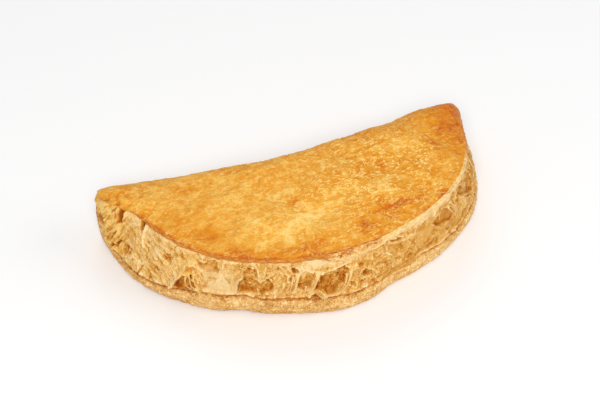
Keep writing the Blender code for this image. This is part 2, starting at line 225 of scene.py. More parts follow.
# Folds of the torn skin: height, slant from the ground in degrees, length, width and seed
Fold = namedtuple("Fold", "rise slant long wide seed")
TIP_CRINKLES = Fold(0.75 * MM, 58, 7 * MM, 1.7 * MM, 82)
DRAPES = (Fold(0.34 * MM, -30, 9 * MM, 1.7 * MM, 81), Fold(0.16 * MM, -36, 4 * MM, 0.8 * MM, 87))
UPRIGHT_FOLDS = Fold(0.26 * MM, 75, 5 * MM, 1.5 * MM, 83)
LEVEL_WRINKLES = Fold(0.24 * MM, 10, 6 * MM, 1.5 * MM, 84)

# The foot of the base stands out or in by bells along the front
Bulge = namedtuple("Bulge", "along out length")
BASE_BULGES = [
    Bulge(along * MM, out * MM, length * MM)
    for along, out, length in (
        (2, -1.8, 14),
        (16, -0.9, 10),
        (30, -0.5, 12),
        (50, -0.5, 13),
        (80, -2.6, 9),
        (98, -1.0, 10),
        (124, 1.2, 12),
        (149, -2.3, 8),
        (163, -1.1, 9),
        (208, 1.5, 18),
    )
]

# The lip's height, in millimetres, at shares of the front's length
SEAM_SHARES = (0, 0.12, 0.15, 0.18, 0.21, 0.25, 0.31, 0.36, 0.43, 0.48, 0.52, 0.56, 0.65, 0.70, 0.75, 0.79, 1)
SEAM_HEIGHTS = (4.2, 4.0, 4.4, 6.0, 8.2, 9.8, 8.8, 9.2, 9.2, 8.6, 8.7, 8.4, 8.9, 6.9, 4.6, 5.2, 4.2)

# The lip's section: how far out it stands, in millimetres, at shares of its height
LIP_SHARES = (0, 0.04, 0.10, 0.22, 0.42, 0.62, 0.80, 0.90, 0.96, 1)
LIP_OUTS = (-3.2, -1.9, -1.1, -0.35, 0, 0, -0.3, -0.7, -1.2, -2.2)

# Nicks in the rim by the left tip
NICKS = (13.2 * MM, 27.4 * MM)
NICK_WIDTH = 0.8 * MM
NICK_DEPTH = 1.7 * MM

# Hollows torn in the side: depth, how brown the floor is from 0 to 1, which is partly its own browning and partly
# painted shade, and the outline, as places along the front and heights as shares of the rim's, by turns
Pit = namedtuple("Pit", "depth brown outline")
PITS = [
    Pit(depth * MM, brown, np.reshape(outline, (-1, 2)) * [MM, 1])
    for depth, brown, outline in (
        (1.5, 0.42, (59.3, 0.88, 61.4, 0.81, 64.1, 0.84, 67, 0.91, 69.7, 0.91, 71.8, 0.87, 71.2, 0.78,
            69.7, 0.73, 66.1, 0.7, 63.5, 0.72, 61.1, 0.75)),
        (1.8, 0.55, (54, 0.56, 55.2, 0.7, 57, 0.76, 59, 0.7, 59.6, 0.63, 58.5, 0.6, 56.4, 0.63)),
        (3.0, 0.95, (48.4, 0.25, 50.5, 0.41, 53.4, 0.52, 56.5, 0.53, 60, 0.43, 59.4, 0.33, 55.5, 0.28, 51.3, 0.26)),
        (2, 0.85, (56.1, 0.56, 57.9, 0.58, 58.5, 0.52, 57, 0.48)),
        (0.8, 0.6, (53.1, 0.25, 54.6, 0.27, 54.9, 0.21, 53.4, 0.17)),
        (3.1, 0.62, (77.4, 0.36, 77.4, 0.5, 79.2, 0.63, 81.8, 0.67, 86.5, 0.66, 88.6, 0.63, 91.3, 0.7,
            93.3, 0.61, 93.6, 0.44)),
        (1.4, 0.4, (80.6, 0.65, 80.6, 0.78, 82.7, 0.84, 86.3, 0.83, 87.1, 0.67)),
        (0.9, 0.45, (87.4, 0.96, 89.2, 0.96, 90.4, 0.9, 89.2, 0.85, 88, 0.88)),
        (3.7, 0.85, (86.5, 0.64, 89.5, 0.66, 88.3, 0.6)),
        (1.9, 0.85, (101, 0.84, 103.1, 0.84, 104.9, 0.78, 104, 0.72, 102.2, 0.75)),
        (1, 0.35, (100.7, 0.95, 104, 0.94, 104.9, 0.84, 101.3, 0.84)),
        (1.4, 0.6, (99.6, 0.66, 101.3, 0.73, 103.4, 0.74, 102.5, 0.65, 100.7, 0.61)),
        (2.0, 0.44, (104.6, 0.7, 107.2, 0.77, 109.9, 0.74, 111.7, 0.7, 110.2, 0.61, 109.3, 0.52, 107.8, 0.47,
            106.4, 0.44, 104.3, 0.47, 103.7, 0.6)),
        (1, 0.22, (105.8, 0.86, 107.8, 0.9, 110.5, 0.84, 110.8, 0.75, 107.2, 0.77)),
        (3, 0.6, (112.3, 0.63, 114, 0.7, 117.6, 0.73, 121.1, 0.75, 124.1, 0.77, 126.5, 0.7, 125.9, 0.6,
            123.5, 0.52, 121.4, 0.41, 119.7, 0.34, 116.4, 0.33, 114, 0.42, 110.8, 0.46, 110.5, 0.51)),
        (2, 0.62, (108.4, 0.32, 110.2, 0.37, 113.2, 0.39, 115.2, 0.3, 113.2, 0.28)),
        (1.6, 0.75, (122.3, 0.25, 126.5, 0.3, 131.2, 0.29, 135, 0.26, 134.7, 0.25, 130.3, 0.27, 126.5, 0.26)),
        (2.2, 0.6, (131.2, 0.56, 133.6, 0.61, 137.1, 0.53, 137.1, 0.46, 133.9, 0.49, 132.1, 0.51)),
        (1.1, 0.45, (126.5, 0.49, 128.5, 0.46, 129.1, 0.36, 126.8, 0.41)),
        (2.2, 0.75, (145.7, 0.92, 147.8, 0.84, 151.3, 0.79, 154.3, 0.79, 153.1, 0.84, 149.5, 0.86)),
        (0.7, 0.4, (156.9, 0.75, 159.6, 0.65, 163.1, 0.5, 162.5, 0.49, 159, 0.63, 156.3, 0.74)),
        (1.1, 0.6, (158.7, 0.82, 160.5, 0.84, 161.6, 0.83, 159.9, 0.79)),
        (0.8, 0.55, (164.9, 0.85, 168.7, 0.84, 169.3, 0.82, 165.2, 0.83)),
        (0.6, 0.12, (159, 0.68, 161.6, 0.79, 167.9, 0.8, 175, 0.69, 173.8, 0.54, 168.5, 0.45, 162.2, 0.55)),
        (1.3, 0.62, (172.3, 0.7, 175.5, 0.78, 180.9, 0.79, 187.1, 0.69, 190.9, 0.53, 187.1, 0.49, 182.1, 0.54,
            176.7, 0.57)),
        (1, 0.7, (180.3, 0.45, 183.5, 0.43, 185.3, 0.34, 182.9, 0.35)),
        (1.5, 0.58, (191.8, 0.78, 196.2, 0.84, 201.9, 0.83, 211.6, 0.74, 214.9, 0.49, 212.8, 0.38, 205.7, 0.5,
            197.4, 0.65)),
        (0.8, 0.7, (207.2, 0.58, 213.1, 0.42, 212.8, 0.34, 206, 0.53)),
        (1.3, 1, (2, 0.59, 5.2, 0.78, 5.5, 0.76, 2.9, 0.59)),
        (1.3, 1, (3.2, 0.54, 7, 0.79, 7.6, 0.78, 3.8, 0.53)),
        (1.3, 1, (7.6, 0.76, 7.6, 0.9, 8.5, 0.91, 8.5, 0.77)),
        (1.3, 1, (9.1, 0.75, 9.1, 0.92, 9.7, 0.93, 10, 0.77)),
        (2.4, 1.1, (11.1, 0.7, 10.9, 1, 12.9, 1, 14.1, 0.74)),
        (1.3, 1, (2.9, 0.3, 8.2, 0.56, 8.8, 0.56, 3.5, 0.3)),
        (1.3, 1, (5.8, 0.25, 11.1, 0.58, 12.3, 0.57, 7.3, 0.26)),
        (1.3, 1, (7, 0.16, 9.7, 0.3, 10.9, 0.29, 8.5, 0.16)),
        (1.3, 1, (10.6, 0.22, 12.6, 0.39, 15, 0.46, 16.5, 0.46, 15, 0.41, 12.9, 0.27)),
        (1.2, 0.5, (17.1, 0.25, 17.1, 0.37, 19.4, 0.47, 21.5, 0.46, 20.3, 0.32, 18.5, 0.24)),
        (1.4, 0.9, (27.7, 0.1, 31, 0.34, 32.1, 0.35, 28.9, 0.11)),
        (0.6, 0.5, (21.8, 0.24, 23.9, 0.33, 26.8, 0.35, 24.5, 0.27)),
        (2.4, 1.1, (27.1, 0.74, 24.8, 0.94, 24.2, 1, 24.8, 1, 27.7, 0.97, 28.6, 0.76)),
        (0.6, 0.45, (42.2, 0.69, 44.6, 0.74, 48.7, 0.74, 47.2, 0.67, 44, 0.65)),
        (0.6, 0.3, (34.5, 0.79, 39.5, 0.79, 44.6, 0.78, 44, 0.74, 38.6, 0.73, 34.2, 0.74)),
        (0.6, 0.4, (141, 0.58, 144.5, 0.56, 147.2, 0.5, 144.5, 0.49)),
        (0.6, 0.4, (148.9, 0.55, 151.9, 0.53, 153.7, 0.46, 151.6, 0.46)),
        (0.7, 0.5, (135.6, 0.27, 139.2, 0.35, 139.8, 0.31, 136.8, 0.23)),
        (0.7, 0.5, (138.9, 0.23, 141, 0.29, 141.8, 0.25, 140.1, 0.21)),
        (0.7, 0.6, (98.7, 0.32, 100.4, 0.38, 100.7, 0.35, 99.6, 0.3)),
    )
]

# Crests of torn dough: how far they stand up, half their width, and their path
Crest = namedtuple("Crest", "rise wide path")
CRESTS = [
    Crest(rise * MM, wide * MM, np.reshape(path, (-1, 2)) * [MM, 1])
    for rise, wide, path in (
        (2.0, 1.0, (58.2, 0.78, 55.2, 0.74, 53.4, 0.62, 51.7, 0.48, 49, 0.36, 47.5, 0.28)),
        (1.0, 0.5, (28.9, 0.99, 28.9, 0.76, 30.5, 0.62)),
        (0.9, 0.5, (14.6, 0.99, 14.9, 0.76)),
        (0.7, 0.36, (72.7, 0.95, 71.8, 0.87, 71.2, 0.78, 70.3, 0.75)),
        (0.5, 0.36, (64.4, 0.64, 62.9, 0.55, 62.9, 0.44, 63.8, 0.37)),
        (0.8, 0.36, (80.6, 0.7, 78.9, 0.63, 77.4, 0.52, 77.4, 0.38)),
        (0.7, 0.36, (85.7, 0.92, 86.5, 0.86, 87.1, 0.77, 87.1, 0.66)),
        (0.7, 0.36, (90.1, 0.9, 90.1, 0.82, 89.5, 0.73, 89.2, 0.68)),
        (0.7, 0.36, (86.8, 0.64, 88.3, 0.66, 89.5, 0.68)),
        (0.6, 0.36, (56.1, 0.59, 57.9, 0.54, 59.3, 0.46, 59.3, 0.33)),
        (0.6, 0.36, (57.9, 0.63, 59.6, 0.58, 60.8, 0.49, 60.8, 0.35)),
        (0.5, 0.36, (54, 0.46, 55.5, 0.43, 56.4, 0.35, 56.4, 0.3)),
        (0.5, 0.36, (60.2, 0.68, 61.7, 0.62, 62.9, 0.55)),
        (0.5, 0.36, (94.5, 0.86, 96.6, 0.79, 98.1, 0.69, 97.8, 0.58)),
        (0.5, 0.36, (96, 0.89, 98.4, 0.81, 99.6, 0.72, 99.3, 0.59)),
        (0.5, 0.36, (97.8, 0.92, 99.9, 0.86, 101, 0.8)),
        (0.7, 0.36, (93.9, 0.36, 96.3, 0.47, 98.7, 0.58, 100.4, 0.66)),
        (0.6, 0.36, (97.8, 0.4, 99.6, 0.49, 100.4, 0.55)),
        (0.6, 0.36, (185.9, 0.81, 188.9, 0.67, 192.7, 0.47)),
        (0.5, 0.36, (183.2, 0.8, 186.5, 0.64, 190.9, 0.44)),
        (0.6, 0.36, (194.5, 0.7, 200.4, 0.51, 207.5, 0.39)),
        (0.5, 0.36, (59, 0.94, 62, 0.94, 63.2, 0.88, 62.3, 0.83)),
        (0.5, 0.36, (60.2, 0.89, 61.7, 0.85, 64.4, 0.81)),
        (0.5, 0.36, (113.2, 0.72, 117.6, 0.75, 122, 0.77, 126.5, 0.8)),
        (0.5, 0.36, (127.4, 0.69, 129.4, 0.72, 132.1, 0.66)),
        (0.5, 0.36, (137.1, 0.56, 139.2, 0.46, 138, 0.36)),
        (0.5, 0.36, (139.2, 0.75, 142.4, 0.76, 146.6, 0.66)),
        (0.5, 0.36, (163.7, 0.37, 170.2, 0.32, 177, 0.27, 183.2, 0.28)),
        (0.6, 0.36, (146.9, 0.96, 152.5, 0.86, 158.1, 0.8)),
    )
]

# Smooth skins of dough between the hollows: place, half length, and half height as a share of the rim's
Skin = namedtuple("Skin", "along high long tall")
SKINS = [
    Skin(along * MM, high, long * MM, tall)
    for along, high, long, tall in (
        (70.5, 0.52, 7.0, 0.22),
        (107, 0.82, 4.0, 0.08),
        (118, 0.88, 13.0, 0.08),
        (166, 0.66, 8.0, 0.14),
        (183, 0.66, 5.0, 0.08),
        (204, 0.64, 8.0, 0.10),
    )
]

# Strands of dough pulled out across the hollows: both ends, thickness, and how far they stand out
Strand = namedtuple("Strand", "along high to_along to_high thick out")
STRANDS = [
    Strand(along * MM, high, to_along * MM, to_high, thick * MM, out * MM)
    for along, high, to_along, to_high, thick, out in (
        (59.5, 0.32, 56.0, 0.60, 0.8, 0.3),
        (61.0, 0.34, 58.0, 0.63, 0.7, 0.3),
        (57.0, 0.31, 54.2, 0.47, 0.7, 0.0),
        (63.0, 0.40, 61.4, 0.66, 0.6, 0.2),
        (102.4, 0.42, 103.9, 0.74, 1.3, 0.3),
        (99.9, 0.42, 102.2, 0.69, 0.8, 0.0),
        (109.2, 0.40, 112.6, 0.74, 1.5, 0.5),
        (107.6, 0.44, 111.0, 0.60, 0.9, 0.2),
        (120.5, 0.31, 127.4, 0.66, 1.0, 0.6),
        (119.4, 0.31, 125.6, 0.61, 0.8, 0.3),
        (94.0, 0.36, 98.8, 0.59, 0.9, 0.3),
        (97.8, 0.40, 100.4, 0.56, 0.7, 0.1),
        (105.6, 0.44, 107.4, 0.50, 0.6, 0.1),
        (185.9, 0.82, 192.6, 0.46, 0.7, 0.4),
        (183.2, 0.80, 190.6, 0.44, 0.6, 0.2),
        (194.6, 0.70, 207.0, 0.40, 0.7, 0.2),
        (222.0, 0.74, 220.0, 0.36, 1.0, 0.2),
        (233.0, 0.74, 232.0, 0.36, 0.9, 0.2),
    )
]

# Leaves of pastry hanging off the side: where the top edge is held, half width there, drop (a share of the
# rim's height), how far the tip is carried along, how much narrower the tip is, and how far it curls out
Leaf = namedtuple("Leaf", "along high width drop carry taper curl")
LEAVES = [
    Leaf(along * MM, high, width * MM, drop, carry * MM, taper, curl * MM)
    for along, high, width, drop, carry, taper, curl in (
        (88.3, 0.95, 2.4, 0.30, 0.2, 0.25, 1.3),
        (72.0, 0.94, 3.0, 0.16, -0.6, 0.40, 0.7),
        (103.0, 0.95, 3.4, 0.10, 0.5, 0.50, 0.5),
        (112.0, 0.42, 2.6, 0.13, 2.8, 0.50, 1.5),
        (140.0, 0.86, 4.0, 0.10, 1.0, 0.55, 0.5),
        (214.0, 0.88, 4.0, 0.16, 0.5, 0.50, 0.7),
        (228.0, 0.86, 3.6, 0.18, -0.5, 0.50, 0.7),
        (33.0, 0.90, 6.0, 0.16, 3.0, 0.65, 0.4),
    )
]

# Spots of the lid that are browner and less flecked, or paler and more flecked where the last number is
# negative: place, half length, half width, turn in degrees, and how much
Patch = namedtuple("Patch", "x y long wide turn dark")
PATCHES = [
    Patch(x * MM, y * MM, long * MM, wide * MM, turn, dark)
    for x, y, long, wide, turn, dark in (
        (-51.5, -9, 6, 4, -45, 0.20),
        (-61, 5, 8, 4, -50, 0.12),
        (-41.5, -21, 6, 3.6, -35, 0.20),
        (-13, -29.5, 8, 3.6, 8, 0.19),
        (11.5, -29, 4.5, 3.2, 10, 0.24),
        (27, -21.5, 9, 2.4, 4, 0.18),
        (31, -21, 7, 1.6, 3, 0.25),
        (49, -22.6, 2.2, 1.8, 0, 0.50),
        (71, 19, 7, 5, 40, 0.14),
        (76, 30, 8, 6, 0, 0.12),
        (-84, 32, 4, 4, 0, 0.14),
        (-12, -5, 2.6, 3, 20, 0.22),
        (-52, 20, 12, 5, 10, 0.10),
        (30, 3, 9, 3, -20, 0.07),
        (60, 8, 5, 3, -50, 0.16),
        (-28, -28.5, 9, 2.6, -8, 0.14),
        (-11, -16, 10, 9, 20, -0.30),
        (-22, -23.5, 5, 2.6, 50, -0.34),
        (-33, -23, 4, 2.6, 40, -0.28),
        (15, 9, 9, 3, 0, -0.24),
        (14, -7, 12, 6, 0, -0.26),
        (27, -13, 9, 4, -10, -0.28),
        (47, 10, 9, 4, -16, -0.26),
        (47, -11, 9, 3, -24, -0.28),
        (62, -3, 5, 4, -50, -0.20),
        (-41, 3, 14, 7, 15, -0.18),
        (-30, -10, 12, 7, 0, -0.16),
        (-18, 2, 9, 5, 0, -0.14),
        (-64, 12, 7, 6, 0, -0.10),
    )
]

# Creases of the lid by the left tip: place, half length, half width, turn in degrees
Crease = namedtuple("Crease", "x y long wide turn")
CREASES = [
    Crease(x * MM, y * MM, long * MM, wide * MM, turn)
    for x, y, long, wide, turn in (
        (-79.8, 25.5, 4.0, 0.8, 84),
        (-78.2, 31.0, 2.2, 0.7, 45),
        (-75.4, 29.0, 3.0, 0.7, 100),
        (-84.0, 29.0, 3.0, 0.7, 50),
        (-72.6, 12.8, 3.6, 0.9, 80),
    )
]

# How much the patches count: (brown, pale) in the bake, and in the flecks
PATCH_BAKE = (1.55, 0.62)
PATCH_FLECKS = (0.6, 0.9)

# How much browner the crust is by the rim, at shares of the front's length, and how far in that reaches
RIM_BROWN_SHARES = (0.05, 0.14, 0.50, 0.60, 0.78, 0.88)
RIM_BROWNS = (0.02, 0.12, 0.14, 0.07, 0.10, 0.18)
RIM_BROWN_REACH = 7.5 * MM
RIM_LINE_REACH = 1.4 * MM
RIM_LINE_BROWN = 0.38

# The lid's slow swells: height, waves per metre along and across the pie, and phase
LID_SWELLS = ((0.45 * MM, 19, 23, 0.4), (0.30 * MM, -17, 41, 1.9), (0.20 * MM, 44, 35, 3.1))

# The lights: name, place, size across and power. They point at a place just over the floor
Lamp = namedtuple("Lamp", "name place size power")
LAMPS = [
    Lamp("key", (-0.35, -0.80, 0.95), 0.6, 10),
    Lamp("fill", (0.95, -0.45, 0.7), 0.9, 3.2),
    Lamp("back", (0.1, 0.9, 0.9), 0.9, 2.6),
]
LAMP_TARGET = (0, 0, 0.02)
SKY_STRENGTH = 0.41

# The camera stands off to the left of the front, looking down
CAMERA_TURN = -21.6
CAMERA_HEIGHT = 44.0
CAMERA_DISTANCE = 0.75
CAMERA_LENS = 100
CAMERA_SENSOR = 36
CAMERA_TARGET = (3.9 * MM, 27.6 * MM, 0)


# Curves and random swells


def signed_power(value, power):
    """The power of a value's size, with the value's own sign."""
    return np.sign(value) * np.abs(value) ** power


def smooth_step(start, end, value):
    """0 before start and 1 after end, eased between them by 3t^2 - 2t^3."""
    share = np.clip((value - start) / (end - start), 0, 1)
    return share * share * (3 - 2 * share)


def stretch(start, whole, fading, end, value):
    """0 before start, 1 from whole to fading and 0 after end: one smooth step times what another leaves."""
    return smooth_step(start, whole, value) * (1 - smooth_step(fading, end, value))


def bell(middle, width, value):
    """A bump of height 1 that falls off as the exponential of minus the squared distance over width."""
    return np.exp(-(((value - middle) / width) ** 2))


def mix(first, second, share):
    """The first where share is 0, the second where it is 1, and in proportion between."""
    return first * (1 - share) + second * share


def stacked(x, y, z):
    """Points in space from three arrays, each repeated to the same shape."""
    return np.stack(np.broadcast_arrays(x, y, z), -1)


def turned(x, y, degrees):
    """Distances along and across a direction."""
    turn = math.radians(degrees)
    return x * math.cos(turn) + y * math.sin(turn), y * math.cos(turn) - x * math.sin(turn)


def scatter(x, y, z, seed):
    """A repeatable random number from -1 to 1 for each whole-numbered place, mixed from the bits of its numbers."""
    mask = 0xFFFFFFFF
    mixed = ((x * 0x8DA6B343) ^ (y * 0xD8163841) ^ (z * 0xCB1AB31F) ^ (seed * 0x9E3779B1)) & mask
    mixed = ((mixed ^ (mixed >> 15)) * 0x2C1B3C6D) & mask
    mixed = ((mixed ^ (mixed >> 12)) * 0x297A2D39) & mask
    return (mixed ^ (mixed >> 15)) / (mask / 2) - 1


def noise(place, size, seed):
    """Smooth random swells about one size across: random numbers at a lattice's corners, blended by smooth steps."""
    scaled = place / size
    whole = np.floor(scaled).astype(np.int64)
    part = scaled - whole
    part = part * part * (3 - 2 * part)
    total = 0
    for corner in np.ndindex(2, 2, 2):
        weight = np.prod(np.where(corner, part, 1 - part), axis=-1)
        total = total + weight * scatter(*np.moveaxis(whole + corner, -1, 0), seed)
    return total


def swelled(swell, place):
    """A sum of noises, each half the size and a little over half the strength of the one before."""
    size = np.asarray(swell.size, float)
    total, strength, whole = 0, 1.0, 0.0
    for octave in range(swell.sizes):
        total = total + strength * noise(place, size / 2**octave, swell.seed + 17 * octave)
        whole += strength
        strength *= 0.55
    return swell.rise * (total / whole)


def line_swelled(swell, along):
    """Swells along a line, for edges that are never quite even."""
    along = np.asarray(along, float)
    return swelled(swell, stacked(along, 0 * along, 0 * along))


def shifted(swell, place, axes=3):
    """How far each place is carried along each axis, by swells with a seed each."""
    return np.stack([swelled(swell._replace(seed=swell.seed + k), place) for k in range(axes)], -1)


def crests(swell, place):
    """Sharp crests about one size apart: one minus twice the absolute value of the swells."""
    return swell.rise * (1 - 2 * np.abs(swelled(swell._replace(rise=1), place)))


# The plan and the sections of the pie


class Plan:
    """The closed loop seen from above, and places on it by the distance walked from the left tip."""

    STEPS = 1200
    NORMAL_REACH = 1.6 * MM  # half the chord that an outward direction is taken across

    def __init__(self):
        """Half a superellipse in front and a hollow curve behind, with the chords' lengths added up as the walk."""
        turn = np.linspace(0, np.pi, self.STEPS)
        cosine = np.cos(turn)
        sine = np.clip(np.sin(turn), 0, None)
        x = -HALF_LENGTH * signed_power(cosine, 2 / FRONT_POWER)
        front = TIP_LINE - FRONT_DEPTH * sine ** (2 / FRONT_POWER)
        hollow = BACK_MIDDLE - TIP_LINE + BACK_HOLLOW * cosine**2
        taper = mix(TIP_TAPER_LEFT, TIP_TAPER_RIGHT, (1 - cosine) / 2)
        back = TIP_LINE + hollow * sine**taper
        self.x = np.concatenate([x, x[::-1][1:]])
        self.y = np.concatenate([front, back[::-1][1:]]) - PLAN_CENTRE
        steps = np.hypot(np.diff(self.x), np.diff(self.y))
        self.walked = np.concatenate([[0], np.cumsum(steps)])
        self.front_length = self.walked[self.STEPS - 1]
        self.length = self.walked[-1]

    def points(self, along):
        """Places on the loop, on the chords between its steps."""
        walked = np.mod(along, self.length)
        x = np.interp(walked, self.walked, self.x)
        y = np.interp(walked, self.walked, self.y)
        return np.stack([x, y], -1)

    def normals(self, along):
        """Unit directions out of the loop: a short chord of it, turned by a right angle."""
        chord = self.points(along + self.NORMAL_REACH) - self.points(along - self.NORMAL_REACH)
        chord /= np.linalg.norm(chord, axis=-1, keepdims=True)
        return np.stack([chord[..., 1], -chord[..., 0]], -1)

    def places(self, along, out, high):
        """Points in space that stand out from the loop by a distance, at a height."""
        flat = self.points(along) + self.normals(along) * np.asarray(out)[..., None]
        return np.concatenate([flat, np.broadcast_to(high, flat.shape[:-1])[..., None]], -1)


PLAN = Plan()
START, END = -FOLD_WRAP, PLAN.front_length + FOLD_WRAP


def front_share(along):
    """The distance walked as a share of the front's length: 0 at the left tip and 1 at the right one."""
    return along / PLAN.front_length


def towards_tips(place, left, middle, right):
    """A size that is middle where place is 0, and goes by a power of the place to left at -1 and to right at 1."""
    to_left = np.clip(-place, 0, 1) ** TIP_POWER
    to_right = np.clip(place, 0, 1) ** TIP_POWER
    return middle + (left - middle) * to_left + (right - middle) * to_right


def nicks(along):
    """How deep the nicks cut into the rim: a bell for each."""
    return NICK_DEPTH * sum(bell(place, NICK_WIDTH, along) for place in NICKS)


def rim_height(along):
    """The rim's height: from the middle's to the tips' own, less the nicks, and swells."""
    place = 2 * np.clip(front_share(along), 0, 1) - 1
    even = towards_tips(place, RIM_HEIGHT_LEFT, RIM_HEIGHT, RIM_HEIGHT_RIGHT)
    return even - nicks(along) + line_swelled(RIM_SWELL, along)


def rim_setback(along):
    """How far the rim stands back from the plan's loop: the even setback, its bells, the nicks and swells."""
    even = sum((s.back * bell(s.share, s.length, front_share(along)) for s in SETBACKS), RIM_SETBACK)
    return even + nicks(along) * NICK_SETBACK + line_swelled(SETBACK_SWELL, along)


def rim_thickness(along):
    """The thickness of the lid's cut edge, on straight lines from place to place."""
    return np.interp(front_share(along), THICK_SHARES, THICKNESSES) * MM


def lip_height(along):
    """The height of the lip of base crust: straight lines from place to place, and swells."""
    return np.interp(front_share(along), SEAM_SHARES, SEAM_HEIGHTS) * MM + line_swelled(LIP_SWELL, along)


def base_bulge(along):
    """How far the foot of the base stands out from the plan's loop: a sum of bells."""
    return sum(b.out * bell(b.along, b.length, along) for b in BASE_BULGES)


def seam_strength(along):
    """1 where a line parts the side from the lip, and little where the side runs down into it."""
    return 1 - 0.9 * stretch(*NO_SEAM, front_share(along))


def openness(along):
    """0 where the section is the closed fold, 1 where the side is torn open."""
    return stretch(START, START + FOLD_BLEND, END - FOLD_BLEND, END, along)


def left_tip(along, length):
    """1 at the left tip, falling off in a bell both ways along the loop."""
    behind = np.where(along > (PLAN.length + PLAN.front_length) / 2, along - PLAN.length, along)
    return bell(0, length, behind)


def fold_sizes(along):
    """Height of the fold's furthest reach, and how far it rounds in, at each place of the loop."""
    left = left_tip(along, FOLD_TIP_LENGTH)
    right = bell(PLAN.front_length, FOLD_TIP_LENGTH, along)
    middle = FOLD_HEIGHT + (FOLD_HEIGHT_LEFT - FOLD_HEIGHT) * left + (FOLD_HEIGHT_RIGHT - FOLD_HEIGHT) * right
    return middle, mix(FOLD_ROUNDING, FOLD_ROUNDING_TIP, left + right)


def fold_section(along, degrees):
    """The fold's round section: how far out and how high it is at an angle, from -90 at its foot upwards. At the
    left tip its shoulder draws in by a smooth step."""
    middle, rounding = fold_sizes(along)
    turn = np.radians(degrees)
    shoulder = TIP_SHOULDER * left_tip(along, TIP_SHOULDER_LENGTH) * smooth_step(*TIP_SHOULDER_TURN, degrees)
    out = -rounding * (1 - np.cos(turn)) ** FOLD_ROUNDING_POWER - shoulder
    return out, middle * (1 + np.sin(turn))


# Meshes


def fitted(points, settings):
    """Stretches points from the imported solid's sizes to the sizes in the settings."""
    wanted = np.array([settings.length, settings.depth, settings.height])
    return points * wanted / np.array([LENGTH, DEPTH, HEIGHT])


def grid_normals(grid):
    """Outward or inward unit directions of a grid of points: the cross product of its two slopes."""
    normal = np.cross(np.gradient(grid, axis=0), np.gradient(grid, axis=1))
    return normal / np.maximum(np.linalg.norm(normal, axis=-1, keepdims=True), 1e-12)


def ring_faces(count, rings):
    """Quads of a tube of so many rings of count points each, and fans of triangles that shut its two ends."""
    ring, place = np.meshgrid(np.arange(rings - 1), np.arange(count), indexing="ij")
    after = (place + 1) % count
    a, b = ring * count + place, ring * count + after
    c, d = (ring + 1) * count + after, (ring + 1) * count + place
    quads = np.stack([a, b, c, d], -1).reshape(-1, 4)
    around = np.arange(count)
    onward = (around + 1) % count
    start, end = rings * count, rings * count + 1
    last = (rings - 1) * count
    fan_start = np.stack([onward, around, np.full(count, start)], -1)
    fan_end = np.stack([last + around, last + onward, np.full(count, end)], -1)
    return quads, np.concatenate([fan_start, fan_end])


def solid_size(points, faces):
    """Six times the volume that triangles enclose, which is negative where they face inwards."""
    a, b, c = (points[faces[:, k]] for k in range(3))
    return np.einsum("ij,ij->", a, np.cross(b, c))


def link_mesh(name, points, faces, material):
    """A smooth mesh from arrays, as an object of the scene."""
    mesh = bpy.data.meshes.new(name)
    mesh.from_pydata(points.tolist(), [], faces)
    mesh.shade_smooth()
    mesh.materials.append(material)
    thing = bpy.data.objects.new(name, mesh)
    bpy.context.scene.collection.objects.link(thing)
    return thing


def add_piece(name, points, quads, triangles, material, settings, values):
    """Makes a closed piece of the pie: mesh, attributes, material, and its place in the frame."""
    points = fitted(np.clip(points, PIE_LOW, PIE_HIGH), settings)
    halves = np.concatenate([quads[:, [0, 1, 2]], quads[:, [0, 2, 3]], triangles])
    if solid_size(points - points.mean(0), halves) < 0:
        quads, triangles = quads[:, ::-1], triangles[:, ::-1]
    piece = link_mesh(name, points, quads.tolist() + triangles.tolist(), material)
    for label, numbers in values.items():
        attribute = piece.data.attributes.new(label, "FLOAT", "POINT")
        attribute.data.foreach_set("value", np.ascontiguousarray(numbers, np.float32).ravel())
    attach(piece, "root")
    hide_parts(NODE)


def add_tubes(name, grids, material, settings, values):
    """One piece from equal tubes: grids has an axis for the tube, its rings and the places on each ring. The
    means of a tube's end rings are the poles that shut it."""
    tubes, rings, count = grids.shape[:3]
    quads, triangles = ring_faces(count, rings)
    steps = np.arange(tubes)[:, None, None] * (rings * count + 2)

    def with_poles(numbers):
        ends = np.stack([numbers[:, 0].mean(1), numbers[:, -1].mean(1)], 1)
        return np.concatenate([numbers.reshape(tubes, rings * count, *numbers.shape[3:]), ends], 1)

    points = with_poles(grids).reshape(-1, 3)
    whole = {label: with_poles(numbers).ravel() for label, numbers in values.items()}
    quads = (quads[None] + steps).reshape(-1, 4)
    triangles = (triangles[None] + steps).reshape(-1, 3)
    add_piece(name, points, quads, triangles, material, settings, whole)


def add_tube(name, grid, material, settings, values):
    """A piece from one grid whose rows are rings."""
    add_tubes(name, grid[None], material, settings, {label: numbers[None] for label, numbers in values.items()})


# The browned lid and the fold


def lid_columns():
    """Places of the lid's columns round the front, and of the same columns' ends along the back fold."""
    front = np.linspace(START, END, LID_COLUMNS + 1)
    back = np.linspace(START + PLAN.length, END, LID_COLUMNS + 1)
    return front[:, None], back[:, None]


def spongy(along):
    """1 where the lid's cut edge has puffed thick and spongy, right of the middle, and 0 elsewhere."""
    return stretch(*SPONGY, front_share(along))


def cut_pores(along, share):
    """Small pores, from 0 to 1, in the upper part of the spongy edge: they are sunk, and painted dark as painted
    shade.
    """
    level = swelled(EDGE_PORES, stacked(along, share * 4 * MM, 0 * along))
    return smooth_step(0.05, 0.4, level) * spongy(along) * stretch(0.42, 0.6, 0.85, 1, share)


